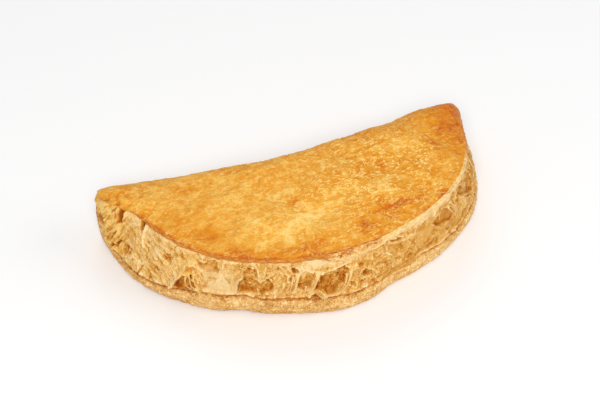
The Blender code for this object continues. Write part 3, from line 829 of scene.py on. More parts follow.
def cut_edge(along):
    """The lid's cut edge, from inside under the rim, up its face and over to its top, with layers in its face."""
    rim, setback, thick = rim_height(along), rim_setback(along), rim_thickness(along)
    front, share = front_share(along), np.linspace(0, 1, CUT_ROWS)
    face = swelled(CUT_LAYERS, stacked(along, thick * share, 0 * along)) * smooth_step(0, 0.2, share)
    wraps = np.maximum(smooth_step(*WRAPS_RIGHT, front), 0.6 * (1 - smooth_step(*WRAPS_LEFT, front)))
    round_top = mix(EDGE_ROUNDING, EDGE_ROUNDING_TIPS, wraps) * smooth_step(mix(0.7, 0.0, wraps), 1, share)
    step = SPONGY_STEP * spongy(along) * (1 - smooth_step(*SPONGY_STEP_TOP, share))
    out = -setback - round_top + face + step - PORE_DEPTH * cut_pores(along, share)
    out = out - TIP_CORNER * bell(0, TIP_CORNER_SHARE, front)
    high = rim - thick * (1 - share)
    inner = np.concatenate([-setback - 7 * MM, -setback - 1.4 * MM], 1)
    brink = mix(*BRINKS, smooth_step(*WIDE_BRINK, front)) * MM
    out = np.concatenate([inner, out, -setback - brink], 1)
    high = np.concatenate([rim - thick + 0.4 * MM, rim - thick + 0.1 * MM, high, rim + 0.08 * MM], 1)
    closed_out, closed_high = fold_section(along, np.linspace(3, 24, out.shape[1]))
    opening = openness(along)
    out, high = mix(closed_out, out, opening), mix(closed_high, high, opening)
    return PLAN.places(np.repeat(along, out.shape[1], 1), out, high)


def ridge_line(front, back):
    """Where the front of the lid and its back meet: a curve between the two, lifted to the crown's height."""
    x = RIDGE_SHARE * (front[..., 0] + back[..., 0]) / 2
    y = RIDGE_MIDDLE - PLAN_CENTRE + RIDGE_HOLLOW * (x / HALF_LENGTH) ** 2
    height = towards_tips(x / HALF_LENGTH, CROWN_HEIGHT_LEFT, CROWN_HEIGHT, CROWN_HEIGHT_RIGHT)
    return np.stack([x, y, height], -1)


def lid_swell(points, share):
    """The lid's slow swells: a sum of sine waves across the plan, which grows from nothing at the edge."""
    x, y = points[..., 0], points[..., 1]
    waves = sum(h * np.sin(2 * np.pi * (along * x + across * y) + phase) for h, along, across, phase in LID_SWELLS)
    return waves * smooth_step(0, 0.4, share[..., 0])


def dome(rim, ridge, share):
    """From the rim up to the ridge, with the height rising as one minus the squared share still to go."""
    points = mix(rim, ridge, share)
    points[..., 2] = mix(rim[..., 2], ridge[..., 2], 1 - (1 - share[..., 0]) ** DOME_POWER)
    return points


def lid_front(rim, ridge):
    """The dome from the front rim to the ridge, with its slow swells."""
    share = (np.arange(1, LID_ROWS + 1) / LID_ROWS)[None, :, None] ** 1.1
    points = dome(rim, ridge, share)
    points[..., 2] += lid_swell(points, share)
    return points


def lid_back(ridge, rim):
    """From the ridge down to the fold: a quarter of a superellipse, which turns into the dome at the tips."""
    share = 1 - np.arange(1, BACK_ROWS)[None, :, None] / BACK_ROWS
    column = np.arange(LID_COLUMNS + 1)[:, None, None] / LID_COLUMNS
    quarter = np.pi / 2 * share
    curved = ridge + (rim - ridge) * np.cos(quarter) ** (2 / FOLD_POWER)
    curved[..., 2] = mix(rim[..., 2], ridge[..., 2], np.sin(quarter[..., 0]) ** (2 / FOLD_POWER))
    points = mix(dome(rim, ridge, share), curved, stretch(0, 0.16, 0.84, 1, column))
    points[..., 2] += lid_swell(points, share)
    return points


def lid_grid():
    """Rings of the lid: cut edge, dome, ridge, back, fold down to the ground, and home through the inside."""
    along_front, along_back = lid_columns()
    cut = cut_edge(along_front)
    out, high = fold_section(along_back, np.linspace(24, -90, FOLD_ROWS)[None])
    fold = PLAN.places(np.repeat(along_back, FOLD_ROWS, 1), out, high)
    rim_front, rim_back = cut[:, -1:], fold[:, :1]
    ridge = ridge_line(rim_front, rim_back)
    foot = fold[:, -1:] + (ridge - fold[:, -1:]) * [0.35, 0.35, 0]
    foot[..., 2] = 0.4 * MM
    under = ridge - [0, 0, 7 * MM]
    rings = [cut, lid_front(rim_front, ridge), lid_back(ridge, rim_back), fold, foot, under]
    return np.concatenate(rings, 1), cut.shape[1]


def spot_bell(points, spot):
    """A bump of height 1 on a spot of the lid: bells along and across the spot's own direction."""
    along, across = turned(points[..., 0] - spot.x, points[..., 1] - spot.y, spot.turn)
    return bell(0, spot.long, along) * bell(0, spot.wide, across)


def patch_sum(points, brown_weight, pale_weight):
    """The patches' bumps times how dark each is and a weight, one for the brown and one for the pale."""
    return sum((brown_weight if p.dark > 0 else pale_weight) * p.dark * spot_bell(points, p) for p in PATCHES)


def lid_creases(points):
    """The creases by the left tip, from 0 to 1."""
    return np.clip(sum(spot_bell(points, crease) for crease in CREASES), 0, 1)


def lid_blisters(points):
    """The thin wavy crests of the blistered surface, from 0 to 1: bent crests that run mostly along the pie."""
    flat = points * [1, 1, 0.6]
    return np.clip(crests(BLISTERS, flat + shifted(BLISTER_BEND, flat)), 0, 1) ** 2.5


def lid_relief(points):
    """Height of the blisters, wrinkles and creases of the baked surface, in metres."""
    flat = points * [1, 1, 0.6]
    pimples = np.clip(swelled(PIMPLES, flat + shifted(PIMPLE_BEND, flat)), 0, 1)
    raised = swelled(LID_BROAD, flat) + BLISTER_HEIGHT * lid_blisters(points) + PIMPLE_HEIGHT * pimples
    return raised - CREASE_DEPTH * lid_creases(points)


def fleck_amount(points):
    """Where the crust is flecked, from 0 to 1: most right of the middle, least in a smooth patch to the left and
    by the right tip, more in the pale patches and less in the brown ones."""
    x, y = points[..., 0], points[..., 1]
    right = bell(38 * MM, 46 * MM, x) * bell(0, 30 * MM, y)
    smooth = bell(-36 * MM, 26 * MM, x) * bell(-4 * MM, 14 * MM, y)
    bare = bell(80 * MM, 22 * MM, x)
    amount = 0.42 + 0.46 * right - 0.18 * smooth - 0.40 * bare + swelled(FLECK_SWELL, points)
    return np.clip(amount - patch_sum(points, *PATCH_FLECKS), 0, 1)


def lid_bake(points, front_distance, front):
    """How brown the crust is, from 0 to 1: browner right of the middle, towards the rim and at the right tip, browner
    in creases as painted shade, with a thin line by the rim left of the middle, paler on the blisters, and browner
    or paler in the patches. The distance is from the front rim, and front the share of the front's length."""
    flat = points * [1, 1, 0.5]
    brown = 0.52 + 0.20 * bell(42 * MM, 40 * MM, points[..., 0])
    brown = brown + swelled(BAKE_BROAD, flat) + swelled(BAKE_STREAKS, flat)
    brown -= (0.10 + 0.30 * fleck_amount(points)) * lid_blisters(points)
    reach = RIM_BROWN_REACH * (1 + swelled(BAKE_EDGE, flat))
    brown += np.interp(front, RIM_BROWN_SHARES, RIM_BROWNS) * bell(0, reach, front_distance)
    brown += 0.14 * bell(HALF_LENGTH, 18 * MM, points[..., 0])
    brown += RIM_LINE_BROWN * stretch(*RIM_LINE, front) * bell(0, RIM_LINE_REACH, front_distance)
    # Painted shade: the creases are painted browner.
    brown += 0.30 * lid_creases(points)
    return np.clip(brown + patch_sum(points + shifted(BAKE_BEND, flat), *PATCH_BAKE), 0, 1)


def lid_surface(settings):
    """The lid's rings before they are swelled, their outward directions, the height and bake of the crust, and
    how many of the rows are the cut edge's."""
    grid, cut_rows = lid_grid()
    rows = np.arange(grid.shape[1])
    column = np.arange(LID_COLUMNS + 1)[:, None] / LID_COLUMNS
    shown = smooth_step(cut_rows - 2, cut_rows + 8, rows) * (rows < rows[-1] - 1) * stretch(0, 0.03, 0.97, 1, column)
    normal = grid_normals(grid)
    normal *= np.sign(np.median(normal[:, cut_rows + 10 : cut_rows + 60, 2]))
    front_distance = np.linalg.norm(grid[..., :2] - grid[:, cut_rows - 1 : cut_rows, :2], axis=-1)
    front_distance += 60 * MM * (rows > cut_rows + LID_ROWS + BACK_ROWS)
    relief = lid_relief(grid) * settings.blisters * shown
    front = np.repeat(front_share(lid_columns()[0]), grid.shape[1], 1)
    low = 1 - smooth_step(2 * MM, 16 * MM, grid[..., 2])
    bake = lid_bake(grid, front_distance, front) + 0.14 * low * (rows > cut_rows + LID_ROWS)
    return grid, normal, relief, bake, cut_rows


def build_lid(settings):
    """The lid with its cut edge, which has colours of its own. Its values are how baked the crust is, how far the
    edge's colours show, how pale they are, and how flecked the crust is."""
    grid, normal, relief, bake, cut_rows = lid_surface(settings)
    along, _ = lid_columns()
    points = grid + normal * relief[..., None]
    points[..., 2] = np.maximum(points[..., 2], 0)
    front = np.repeat(front_share(along), grid.shape[1], 1)
    cut = openness(along) * (np.arange(grid.shape[1]) < cut_rows) * stretch(*CUT_SHOWN, front)
    pale = smooth_step(*PALE_EDGE, front) + 0.15 * smooth_step(0.22, 0.12, front)
    share = np.linspace(0, 1, CUT_ROWS)[None]
    layers = spongy(along) * (0.72 - 0.2 * smooth_step(0.38, 0.5, share))
    # The pores are painted darker, as painted shade.
    pale[:, 2 : 2 + CUT_ROWS] += layers - 0.5 * cut_pores(along, share)
    values = {"bake": bake, "cut": cut, "pale": pale, "fleck": fleck_amount(grid)}
    add_tube("browned_lid", points, finish_of(browned_crust, settings), settings, values)


# The torn side


def side_lean(along, share):
    """How far out the side's smooth base surface stands, from above the lip (0) to under the rim (1). Where no line
    parts it from the lip, its foot comes forward over the lip and draws in again below."""
    spread = stretch(*NO_SEAM, front_share(along)) * (FOOT_SPREAD - 10 * MM * np.clip(-share, 0, 1))
    foot = base_bulge(along) - (FOOT_SETBACK - spread)
    lean = mix(foot, -rim_setback(along) - RIM_OVERHANG, share)
    return lean + SIDE_BELLY * np.sin(np.pi * np.clip(share, 0, 1))


def side_share_at(along, high):
    """Turns a height, as a share of the rim's, into the share of the way from the lip to the rim."""
    lip, under = lip_height(along), rim_height(along) - rim_thickness(along)
    return (high * rim_height(along) - lip) / (under - lip)


def side_place(along, high, out):
    """A point that stands out from the torn side's smooth base surface."""
    lean = side_lean(along, side_share_at(along, high))
    return PLAN.places(along, lean + out, high * rim_height(along))


def unrolled(along, high):
    """The torn side laid flat, as points in space: along, up, and nothing across."""
    return stacked(along, high * SIDE_SPAN, 0 * high)


def edge_distance(x, y, corners):
    """Distance from each place to the nearest of the straight edges between corners in a row."""
    run = np.diff(corners, axis=0)
    dx, dy = x[..., None] - corners[:-1, 0], y[..., None] - corners[:-1, 1]
    share = np.clip((dx * run[:, 0] + dy * run[:, 1]) / (run**2).sum(1), 0, 1)
    return np.hypot(dx - share * run[:, 0], dy - share * run[:, 1]).min(-1)


def is_within(x, y, corners):
    """Whether each place is within a closed outline: a line to its right crosses an odd number of edges."""
    start, end = corners[:-1], corners[1:]
    crossed = (start[:, 1] > y[..., None]) != (end[:, 1] > y[..., None])
    rise = end[:, 1] - start[:, 1]
    slope = (end[:, 0] - start[:, 0]) / np.where(rise == 0, 1, rise)
    meets = start[:, 0] + (y[..., None] - start[:, 1]) * slope
    return (crossed & (x[..., None] < meets)).sum(-1) % 2 == 1


def pit_shape(x, y, pit, corners):
    """Depth, brownness and curled edge of one hollow: its wall falls by a smooth step, its floor rises to the right
    where it is wide, it is brownest along the foot of its wall as painted shade in that corner, and its edge curls
    up in a bell just outside."""
    left, right = corners[:, 0].min(), corners[:, 0].max()
    within = edge_distance(x, y, corners) * np.where(is_within(x, y, corners), 1, -1)
    fall = 1 - 0.5 * smooth_step(2 * MM, 5 * MM, right - left) * np.clip((x - left) / (right - left), 0, 1)
    wall = 0.2 * MM + 0.25 * pit.depth
    depth = fall * pit.depth * smooth_step(-0.25 * MM, wall, within)
    # Painted shade: the floor is painted browner along the foot of the wall.
    foot = 1 + 0.7 * bell(0.4 * MM, 0.6 * MM, within)
    brown = fall * pit.brown * foot * smooth_step(-0.15 * MM, 0.45 * MM, within)
    curl = min(0.4 * MM, 0.2 * pit.depth) * bell(-0.35 * MM, 0.3 * MM, within)
    return depth, brown, curl


def torn_fields(along, high):
    """Flat places, depth, brownness, curled edges and crests of the torn side. Outlines and paths are bent by
    swells, less by the left tip. A crest is a bell across its path."""
    place = unrolled(along, high)
    calm = mix(CALM_TIP, 1, smooth_step(*PAST_LEFT_TIP, front_share(along)))
    bend = calm[..., None] * sum(shifted(swell, place, axes=2) for swell in OUTLINE_BENDS)
    x, y = np.moveaxis(place[..., :2] + bend, -1, 0)
    depth, brown, curl, crest = (np.zeros(x.shape) for _ in range(4))

    def near_of(corners):
        return (x > corners[:, 0].min() - 2 * MM) & (x < corners[:, 0].max() + 2 * MM)

    for pit in PITS + chance_pits():
        corners = np.concatenate([pit.outline, pit.outline[:1]]) * [1, SIDE_SPAN]
        near = near_of(corners)
        for field, values in zip((depth, brown, curl), pit_shape(x[near], y[near], pit, corners)):
            field[near] = np.maximum(field[near], values)
    for line in CRESTS:
        corners = line.path * [1, SIDE_SPAN]
        near = near_of(corners)
        rise = line.rise * bell(0, line.wide, edge_distance(x[near], y[near], corners))
        crest[near] = np.maximum(crest[near], rise)
    curl *= 1 - smooth_step(0.3 * MM, 1.2 * MM, depth)
    return place, depth, brown, curl, crest


def chance_pits():
    """Hollows at random round the right tip, where none is named: ellipses of eight corners."""
    chance = np.random.default_rng(5)
    turn = np.linspace(0, 2 * np.pi, 8, endpoint=False)
    pits = []
    for along in np.arange(218, 256, 3.6):
        high, wide, tall = chance.uniform(0.38, 0.78), chance.uniform(1.0, 2.4), chance.uniform(0.05, 0.16)
        reach = chance.uniform(0.75, 1.15, 8)
        outline = np.stack([along * MM + wide * MM * reach * np.cos(turn), high + tall * reach * np.sin(turn)], -1)
        pits.append(Pit(chance.uniform(1.2, 3.0) * MM, chance.uniform(0.4, 0.7), outline))
    return pits


def folded(fold, place):
    """Folds of a length and width that run at a slant to the ground."""
    along, across = turned(place[..., 0], place[..., 1], fold.slant)
    return crests(Swell(fold.rise, (fold.long, fold.wide, 1 * MM), fold.seed, 2), stacked(along, across, 0 * along))


def torn_wrinkles(place, front):
    """Fine folds of the skin between the hollows, and its slow sag. The folds slant down to the right on the left
    wall, stand steeper by the left tip and in the middle, and lie nearly level on the right."""
    tip = 1 - smooth_step(*PAST_LEFT_TIP, front)
    left = (1 - smooth_step(*PAST_LEFT_WALL, front)) * (1 - tip)
    right = smooth_step(*LEVEL_FOLDS, front)
    middle = (1 - left - tip) * (1 - right)
    folds = tip * folded(TIP_CRINKLES, place) + left * sum(folded(fold, place) for fold in DRAPES)
    folds += middle * folded(UPRIGHT_FOLDS, place) + right * folded(LEVEL_WRINKLES, place)
    return folds + swelled(SKIN_SWELL, place), swelled(SIDE_SAG, place)


def torn_webs(place, along, high):
    """Thin bright webs, thin dark cracks and smooth skins, each from 0 to 1: webs and cracks are sharp where bent
    crests pass a level, and faint on the few smooth skins and by the left tip."""
    webs_at = place + shifted(WEB_BEND, place)
    web = smooth_step(0.70, 0.96, crests(WEBS, webs_at)) * smooth_step(-0.5, 0.2, swelled(WEBBED, place))
    crack = smooth_step(0.66, 0.97, crests(CRACKS, webs_at)) * smooth_step(-0.3, 0.3, swelled(CRACKED, place))
    smooth = np.zeros(place.shape[:-1])
    for s in SKINS:
        smooth = np.maximum(smooth, np.exp(-(((along - s.along) / s.long) ** 4) - ((high - s.high) / s.tall) ** 4))
    calm = mix(CALM_TIP, 1, smooth_step(*PAST_LEFT_TIP, front_share(along)))
    return web * (1 - 0.6 * smooth) * calm, crack * (1 - 0.7 * smooth) * calm, smooth


def torn_pores(place, front):
    """Small pits of the spongy layers, deep where stretched swells pass a level, most of them right of the middle."""
    zone = 0.3 + 0.4 * bell(0.56, 0.05, front) + 0.1 * smooth_step(0.70, 0.80, front)
    return SIDE_PORE_DEPTH * zone * smooth_step(0.25, 0.5, swelled(SIDE_PORES, place))


def torn_values(sunk, **others):
    """The attributes that the torn pastry's material reads, each with a plain value where none is given: sunk and
    golden, with painted shade and painted highlight by the relief in it, warm as at the left tip, pale as a thin
    skin, dark along the seam, partly as painted shade in its groove, and how strong its grain is."""
    values = {"sunk": sunk, "seam": 0, "grain": 1, "warm": 0, "pallor": 0, **others}
    return {label: np.broadcast_to(numbers, sunk.shape) for label, numbers in values.items()}


def with_back(values):
    """Adds two columns for the hidden rows behind, which repeat the top row's values and the bottom row's."""
    return np.concatenate([values, values[:, [-1, 0]]], 1)


def seam_lines(along, share):
    """The hem that the side's foot curls out in, and the groove between it and the lip, each from 0 to about 1."""
    wide = mix(0.016, 0.027, stretch(*WIDE_SEAM, front_share(along)))
    hem = (0.9 + line_swelled(HEM_SWELL, along)) * bell(0.045 + 1.9 * wide, 0.03, share)
    groove = bell(0.6 * wide, 0.8 * wide, share) + bell(-0.03, 0.04, share)
    return seam_strength(along) * hem, seam_strength(along) * groove


def build_torn_side(settings):
    """Rings of the torn side: up from the lip to the rim, and home behind. Its relief is the sum of curled edges,
    crests, sag, folds and webs, less hollows, pores and cracks. What is sunk is also painted browner, partly as
    painted shade, and the raised folds, bumps, curls and crests are painted lighter as painted highlight."""
    along = np.linspace(START - TUCK, END + TUCK, TORN_COLUMNS + 1)[:, None]
    share = np.linspace(-0.10, 1.025, TORN_ROWS)[None]
    opening, front = openness(along), front_share(along)
    lip = lip_height(along)
    under = mix(fold_section(along, 12)[1], rim_height(along) - rim_thickness(along), opening)
    height = lip + share * (under - lip)
    high = height / rim_height(along)

    place, depth, brown, curl, crest = torn_fields(along, high)
    pores, (wrinkles, sag) = torn_pores(place, front), torn_wrinkles(place, front)
    web, crack, smooth = torn_webs(place, along, high)
    hem, groove = seam_lines(along, share)
    wrinkles *= 1 - 0.35 * smooth
    sunken = smooth_step(0.3 * MM, 1.5 * MM, depth)
    floor = swelled(FLOOR_SWELL, place) * sunken
    relief = curl + crest + sag + wrinkles * (1 - 0.4 * sunken) + floor - depth - pores
    relief = (relief + WEB_HEIGHT * web - CRACK_DEPTH * crack) * settings.relief
    ends = stretch(0.0, 0.08, 0.94, 1.0, share)
    seam_depth = mix(0.52, 0.38, smooth_step(*SEAM_THINS, front)) * groove
    out = side_lean(along, share) + relief * ends + (0.7 * hem - seam_depth) * MM

    middle, rounding = fold_sizes(along)
    lift = np.clip(height / middle - 1, -1, 1)
    closed = -rounding * (1 - np.sqrt(1 - lift**2)) ** FOLD_ROUNDING_POWER - TUCK_DEPTH
    face = PLAN.places(np.repeat(along, TORN_ROWS, 1), mix(closed, out, opening), height)
    behind_out = np.minimum(out, closed)[:, [-1, 0]] - 4 * MM * opening - 1.2 * MM
    drop = np.concatenate([3 * MM + 4 * MM * opening, 0 * opening], 1)
    behind = PLAN.places(np.repeat(along, 2, 1), behind_out, height[:, [-1, 0]] - drop)

    sparse, round_tip = smooth_step(*SPARSE_SKIN, front), smooth_step(*ROUND_RIGHT_TIP, front)
    pale_top, past_tip = smooth_step(*PALE_TOP, front), smooth_step(*PAST_LEFT_TIP, front)
    sunk = 0.46 + 0.05 * smooth_step(0.46, 0.56, front) + 0.10 * round_tip
    # Hollows' floors are browner, partly their own colour and partly painted shade, and pores are painted darker as
    # painted shade.
    sunk = sunk + 0.38 * brown * (1 + swelled(FLOOR_STAIN, place)) + pores / (2.6 * MM)
    # Painted highlight and shade by the relief: raised folds, floor bumps, curled edges and crests are painted
    # lighter, and the folds' valleys darker.
    sunk -= wrinkles / (1.5 * MM) + floor / (3.0 * MM) + curl / (2.0 * MM) + np.minimum(crest, 0.6 * MM) / (2.4 * MM)
    sunk += (0.36 - 0.12 * smooth_step(*LIGHTER_CRACKS, front)) * crack
    sunk -= 0.22 * web + mix(0.22, 0.10, sparse) * smooth
    sunk -= 0.14 * bell(0.955, mix(0.05, 0.03, round_tip), share) + 0.12 * hem
    smooth, high = with_back(smooth), with_back(high)
    values = torn_values(
        np.clip(with_back(sunk), 0, 1),
        # Painted shade: the groove between the side's hem and the lip is painted dark brown, besides the seam's own
        # brown.
        seam=0.75 * np.clip(with_back(groove), 0, 1),
        grain=1 - 0.6 * smooth - 0.25 * sparse,
        warm=0.75 * (1 - past_tip) + 0.9 * bell(56 * MM, 5 * MM, along) * bell(0.62, 0.28, high),
        pallor=0.8 * smooth * (1 - pale_top) + 0.7 * with_back(bell(0.955, 0.06, share) * pale_top),
    )
    grid = np.concatenate([face, behind], 1)
    add_tube("torn_side", grid, finish_of(torn_pastry, settings), settings, values)


# Strands, leaves and flakes


def build_strands(settings):
    """Threads of dough: tubes on bowed lines from place to place, thick at both ends and thin between."""
    rings, count = 26, 9
    table = np.array(STRANDS)
    from_along, from_high, to_along, to_high, thick, stand = (table[:, k, None] for k in range(6))
    share = np.linspace(0, 1, rings)[None]
    ends = np.abs(2 * share - 1) ** 3  # 1 at both ends and 0 halfway
    lines = [line_swelled(STRAND_WOBBLE, share * 20 * MM + 50 * MM * k) for k in range(len(table))]
    along = mix(from_along, to_along, share) + np.concatenate(lines)
    high = mix(from_high, to_high, share)
    centre = side_place(along, high, stand + 0.9 * MM * np.sin(np.pi * share) - 1.1 * MM * ends)
    radius = thick / 2 * (0.62 + 1.25 * ends) * (1 + line_swelled(STRAND_KNOTS, along + high * 20 * MM))
    run = np.gradient(centre, axis=1)
    run /= np.linalg.norm(run, axis=-1, keepdims=True)
    outward = np.concatenate([PLAN.normals(along), np.zeros(along.shape + (1,))], -1)
    side = np.cross(run, outward)
    side /= np.linalg.norm(side, axis=-1, keepdims=True)
    front = np.cross(side, run)
    turn = np.linspace(0, 2 * np.pi, count, endpoint=False)[None, None, :, None]
    section = np.cos(turn) * side[:, :, None] * 1.15 + np.sin(turn) * front[:, :, None] * 0.8
    grids = centre[:, :, None] + radius[..., None, None] * section
    tone = np.broadcast_to(0.14 + 0.1 * np.sin(np.pi * share)[..., None], grids.shape[:3])
    add_tubes("pulled_strands", grids, finish_of(torn_pastry, settings), settings, torn_values(tone, grain=0.5))


def leaf_grids(table, seed, thickness):
    """Thin leaves held along their top edge: the sheet is carried down and curls out as its squared distance from
    the held edge, its free edge is ragged, and its back is the same sheet moved in by its thickness."""
    across_count, down_count = 17, 15
    held_along, held_high, width, drop, carry, taper, curl = (table[:, k, None, None] for k in range(7))
    across = np.linspace(-1, 1, across_count)[None, :, None]
    down = np.linspace(0, 1, down_count)[None, None]
    leaf = np.arange(len(table))[:, None, None]
    ragged = swelled(Swell(0.22, 1.7, seed), stacked(across * 6, leaf * 9.7, 0.0 * across))
    rounded = np.sqrt(np.clip(1 - 0.75 * across**2, 0, 1))
    along = held_along + across * width * (1 - taper * down) + carry * down
    high = held_high - drop * down * (rounded + ragged)
    crumple = swelled(Swell(0.35 * MM, 2.2 * MM, seed + 1), stacked(along, high * 30 * MM, leaf * 7.3 * MM))
    lift = 0.25 * MM + curl * down**2 * (0.6 + 0.4 * across**2) + crumple * down
    held = 0.9 * MM * (1 - smooth_step(0, 0.2, down)) + 0.7 * MM * smooth_step(0.8, 1, np.abs(across)) * (1 - down)
    front = side_place(along, high, lift - held)
    back = side_place(along, high, lift - held - thickness * (1 - 0.7 * down))
    grids = np.concatenate([front, back[:, :, ::-1]], 2)
    tone = np.concatenate([0.40 - 0.24 * down**4 + 0 * along, 0.5 + 0.2 * down + 0 * along], 2)
    return grids, tone


def build_leaves(settings):
    """The named leaves, and small shreds set at random round the torn side but not over its hollows."""
    chance = np.random.default_rng(7)
    ranges = Leaf((14, 226), (0.34, 0.92), (0.7, 2.4), (0.05, 0.14), (-2.0, 2.0), (0.3, 0.7), (0.3, 0.9))
    lengths = Leaf(MM, 1, MM, 1, MM, 1, MM)
    shreds = np.stack([chance.uniform(*span, settings.shreds) * unit for span, unit in zip(ranges, lengths)], -1)
    keep = torn_fields(shreds[:, 0], shreds[:, 1])[1] < 0.3 * MM
    leaves = (leaf_grids(np.array(LEAVES), 111, 0.5 * MM), leaf_grids(shreds[keep], 121, 0.35 * MM))
    grids, tones = (np.concatenate(both) for both in zip(*leaves))
    add_tubes("torn_leaves", grids, finish_of(torn_pastry, settings), settings, torn_values(tones))


def sampled(grid, column, row):
    """Values of a grid between its places, blended from the four around each."""
    column = np.clip(column, 0, grid.shape[0] - 1.001)
    row = np.clip(row, 0, grid.shape[1] - 1.001)
    i, j = column.astype(int), row.astype(int)
    u, v = (column - i)[..., None], (row - j)[..., None]
    return mix(mix(grid[i, j], grid[i + 1, j], u), mix(grid[i, j + 1], grid[i + 1, j + 1], u), v)


def build_flakes(settings):
    """Thin scales of pastry that lift off the lid: small ragged ellipses laid on its surface, with raised rims.
    Each is as likely on any patch of the lid as on another of the same area."""
    chance = np.random.default_rng(11)
    grid, normal, relief, bake, cut_rows = lid_surface(settings)
    across, down = np.gradient(grid, axis=0), np.gradient(grid, axis=1)
    area = np.linalg.norm(np.cross(across, down), axis=-1)
    rows = np.arange(grid.shape[1])
    area[:, (rows < cut_rows + 5) | (rows > cut_rows + LID_ROWS + BACK_ROWS * 0.6)] = 0
    area[:10] = area[-10:] = 0
    place = chance.choice(area.size, settings.flakes, p=(area / area.sum()).ravel())
    column, row = (k.astype(float) for k in np.unravel_index(place, area.shape))
    count, around = settings.flakes, 12
    turn = np.linspace(0, 2 * np.pi, around, endpoint=False)[None, None]
    long = chance.uniform(0.25, 0.9, count)[:, None, None] * MM
    wide = long * chance.uniform(0.3, 0.7, count)[:, None, None]
    heading = chance.normal(0.2, 0.6, count)[:, None, None]
    spread = np.array([0.45, 1.0, 1.0, 0.45])[None, :, None]
    lift = np.array([0.10, 0.17, 0.06, 0.0])[None, :, None] * MM * settings.blisters
    wave = 1 + 0.3 * chance.uniform(-1, 1, (count, 1, around))
    dx = spread * wave * (long * np.cos(turn) * np.cos(heading) - wide * np.sin(turn) * np.sin(heading))
    dy = spread * wave * (long * np.cos(turn) * np.sin(heading) + wide * np.sin(turn) * np.cos(heading))
    c, r = sampled(across, column, row)[:, None, None], sampled(down, column, row)[:, None, None]
    spans = c[..., 0] * r[..., 1] - c[..., 1] * r[..., 0]
    broad = np.abs(spans) > 0.02 * MM * MM
    spans = np.where(broad, spans, 1)
    u = column[:, None, None] + (dx * r[..., 1] - dy * r[..., 0]) / spans
    v = row[:, None, None] + (dy * c[..., 0] - dx * c[..., 1]) / spans
    keep = broad[:, 0, 0] & (v.min((1, 2)) > cut_rows + 1)
    keep &= (u.min((1, 2)) > 4) & (u.max((1, 2)) < LID_COLUMNS - 4)
    u, v, lift = u[keep], v[keep], np.broadcast_to(lift, u.shape)[keep]
    height = sampled(relief[..., None], u, v) + lift[..., None]
    surface = sampled(grid, u, v) + sampled(normal, u, v) * height
    tone = sampled(bake[..., None], u, v)[..., 0] - chance.uniform(0.0, 0.3, count)[keep][:, None, None]
    none = np.zeros(u.shape)
    values = {"bake": np.clip(tone, 0, 1), "cut": none, "pale": none, "fleck": none + 0.3}
    add_tubes("lifted_flakes", surface, finish_of(browned_crust, settings), settings, values)


# The base crust


def build_base(settings):
    """Rings of the base: up the lip's face, over it and inside, across to the fold's foot, and home underneath. It
    is toasted underneath, darker towards its foot, paler right of the middle, and has a dark line along its upper
    edge, partly its own and partly painted shade under the torn side's hem."""
    front = np.linspace(START - TUCK, END + TUCK, BASE_COLUMNS + 1)[:, None]
    back = np.linspace(START - TUCK + PLAN.length, END + TUCK, BASE_COLUMNS + 1)[:, None]
    lip, bulge, opening = lip_height(front), base_bulge(front), openness(front)
    share = np.linspace(0, 1, LIP_ROWS)[None]
    high = lip * share
    grain_place = stacked(front, high, 0 * high)
    grain = sum(swelled(swell, grain_place) for swell in (*LIP_GRAINS, LIP_WAVE))
    out = bulge + np.interp(share, LIP_SHARES, LIP_OUTS) * MM + grain * smooth_step(0, 0.1, share)
    closed_out, closed_high = fold_section(front, np.linspace(-90, -3, LIP_ROWS)[None])
    out, high = mix(closed_out - TUCK_DEPTH * 0.4, out, opening), mix(closed_high, high, opening)
    lip_face = PLAN.places(np.repeat(front, LIP_ROWS, 1), out, high)
    top_out = mix(-TUCK_DEPTH * 2 + 0 * front, bulge - 2.4 * MM - 5 * MM * opening, opening)
    top = PLAN.places(front, top_out, mix(fold_section(front, -3)[1], lip - 0.3 * MM, opening))
    heel_out, _ = fold_section(back, -90)
    heel = PLAN.places(back, heel_out - 1.0 * MM, 1.5 * MM + 0 * back)
    heel_foot = PLAN.places(back, heel_out - 0.6 * MM, 0 * back)
    under = mix(heel_foot, lip_face[:, :1], np.linspace(0, 1, UNDER_ROWS + 1)[None, 1:-1, None])
    under[..., 2] = 0
    grid = np.concatenate([lip_face, top, heel, heel_foot, under], 1)
    below = np.arange(grid.shape[1]) >= LIP_ROWS + 2
    toast = np.broadcast_to(below, grid.shape[:2]).astype(float)
    toast[:, :LIP_ROWS] += 0.5 * (1 - smooth_step(0, 0.35, share)) - 0.3 * bell(0.66, 0.12, front_share(front))
    face_share = np.append(share[0], np.ones(grid.shape[1] - LIP_ROWS))
    # Painted shade: the lip's upper edge, under the torn side's hem, is painted darker, besides the seam's own brown.
    seam = seam_strength(front) * bell(1.0, 0.06, face_share) * ~below
    add_tube("base_crust", grid, finish_of(sandy_crust, settings), settings, {"toast": toast, "seam": seam})


# Materials


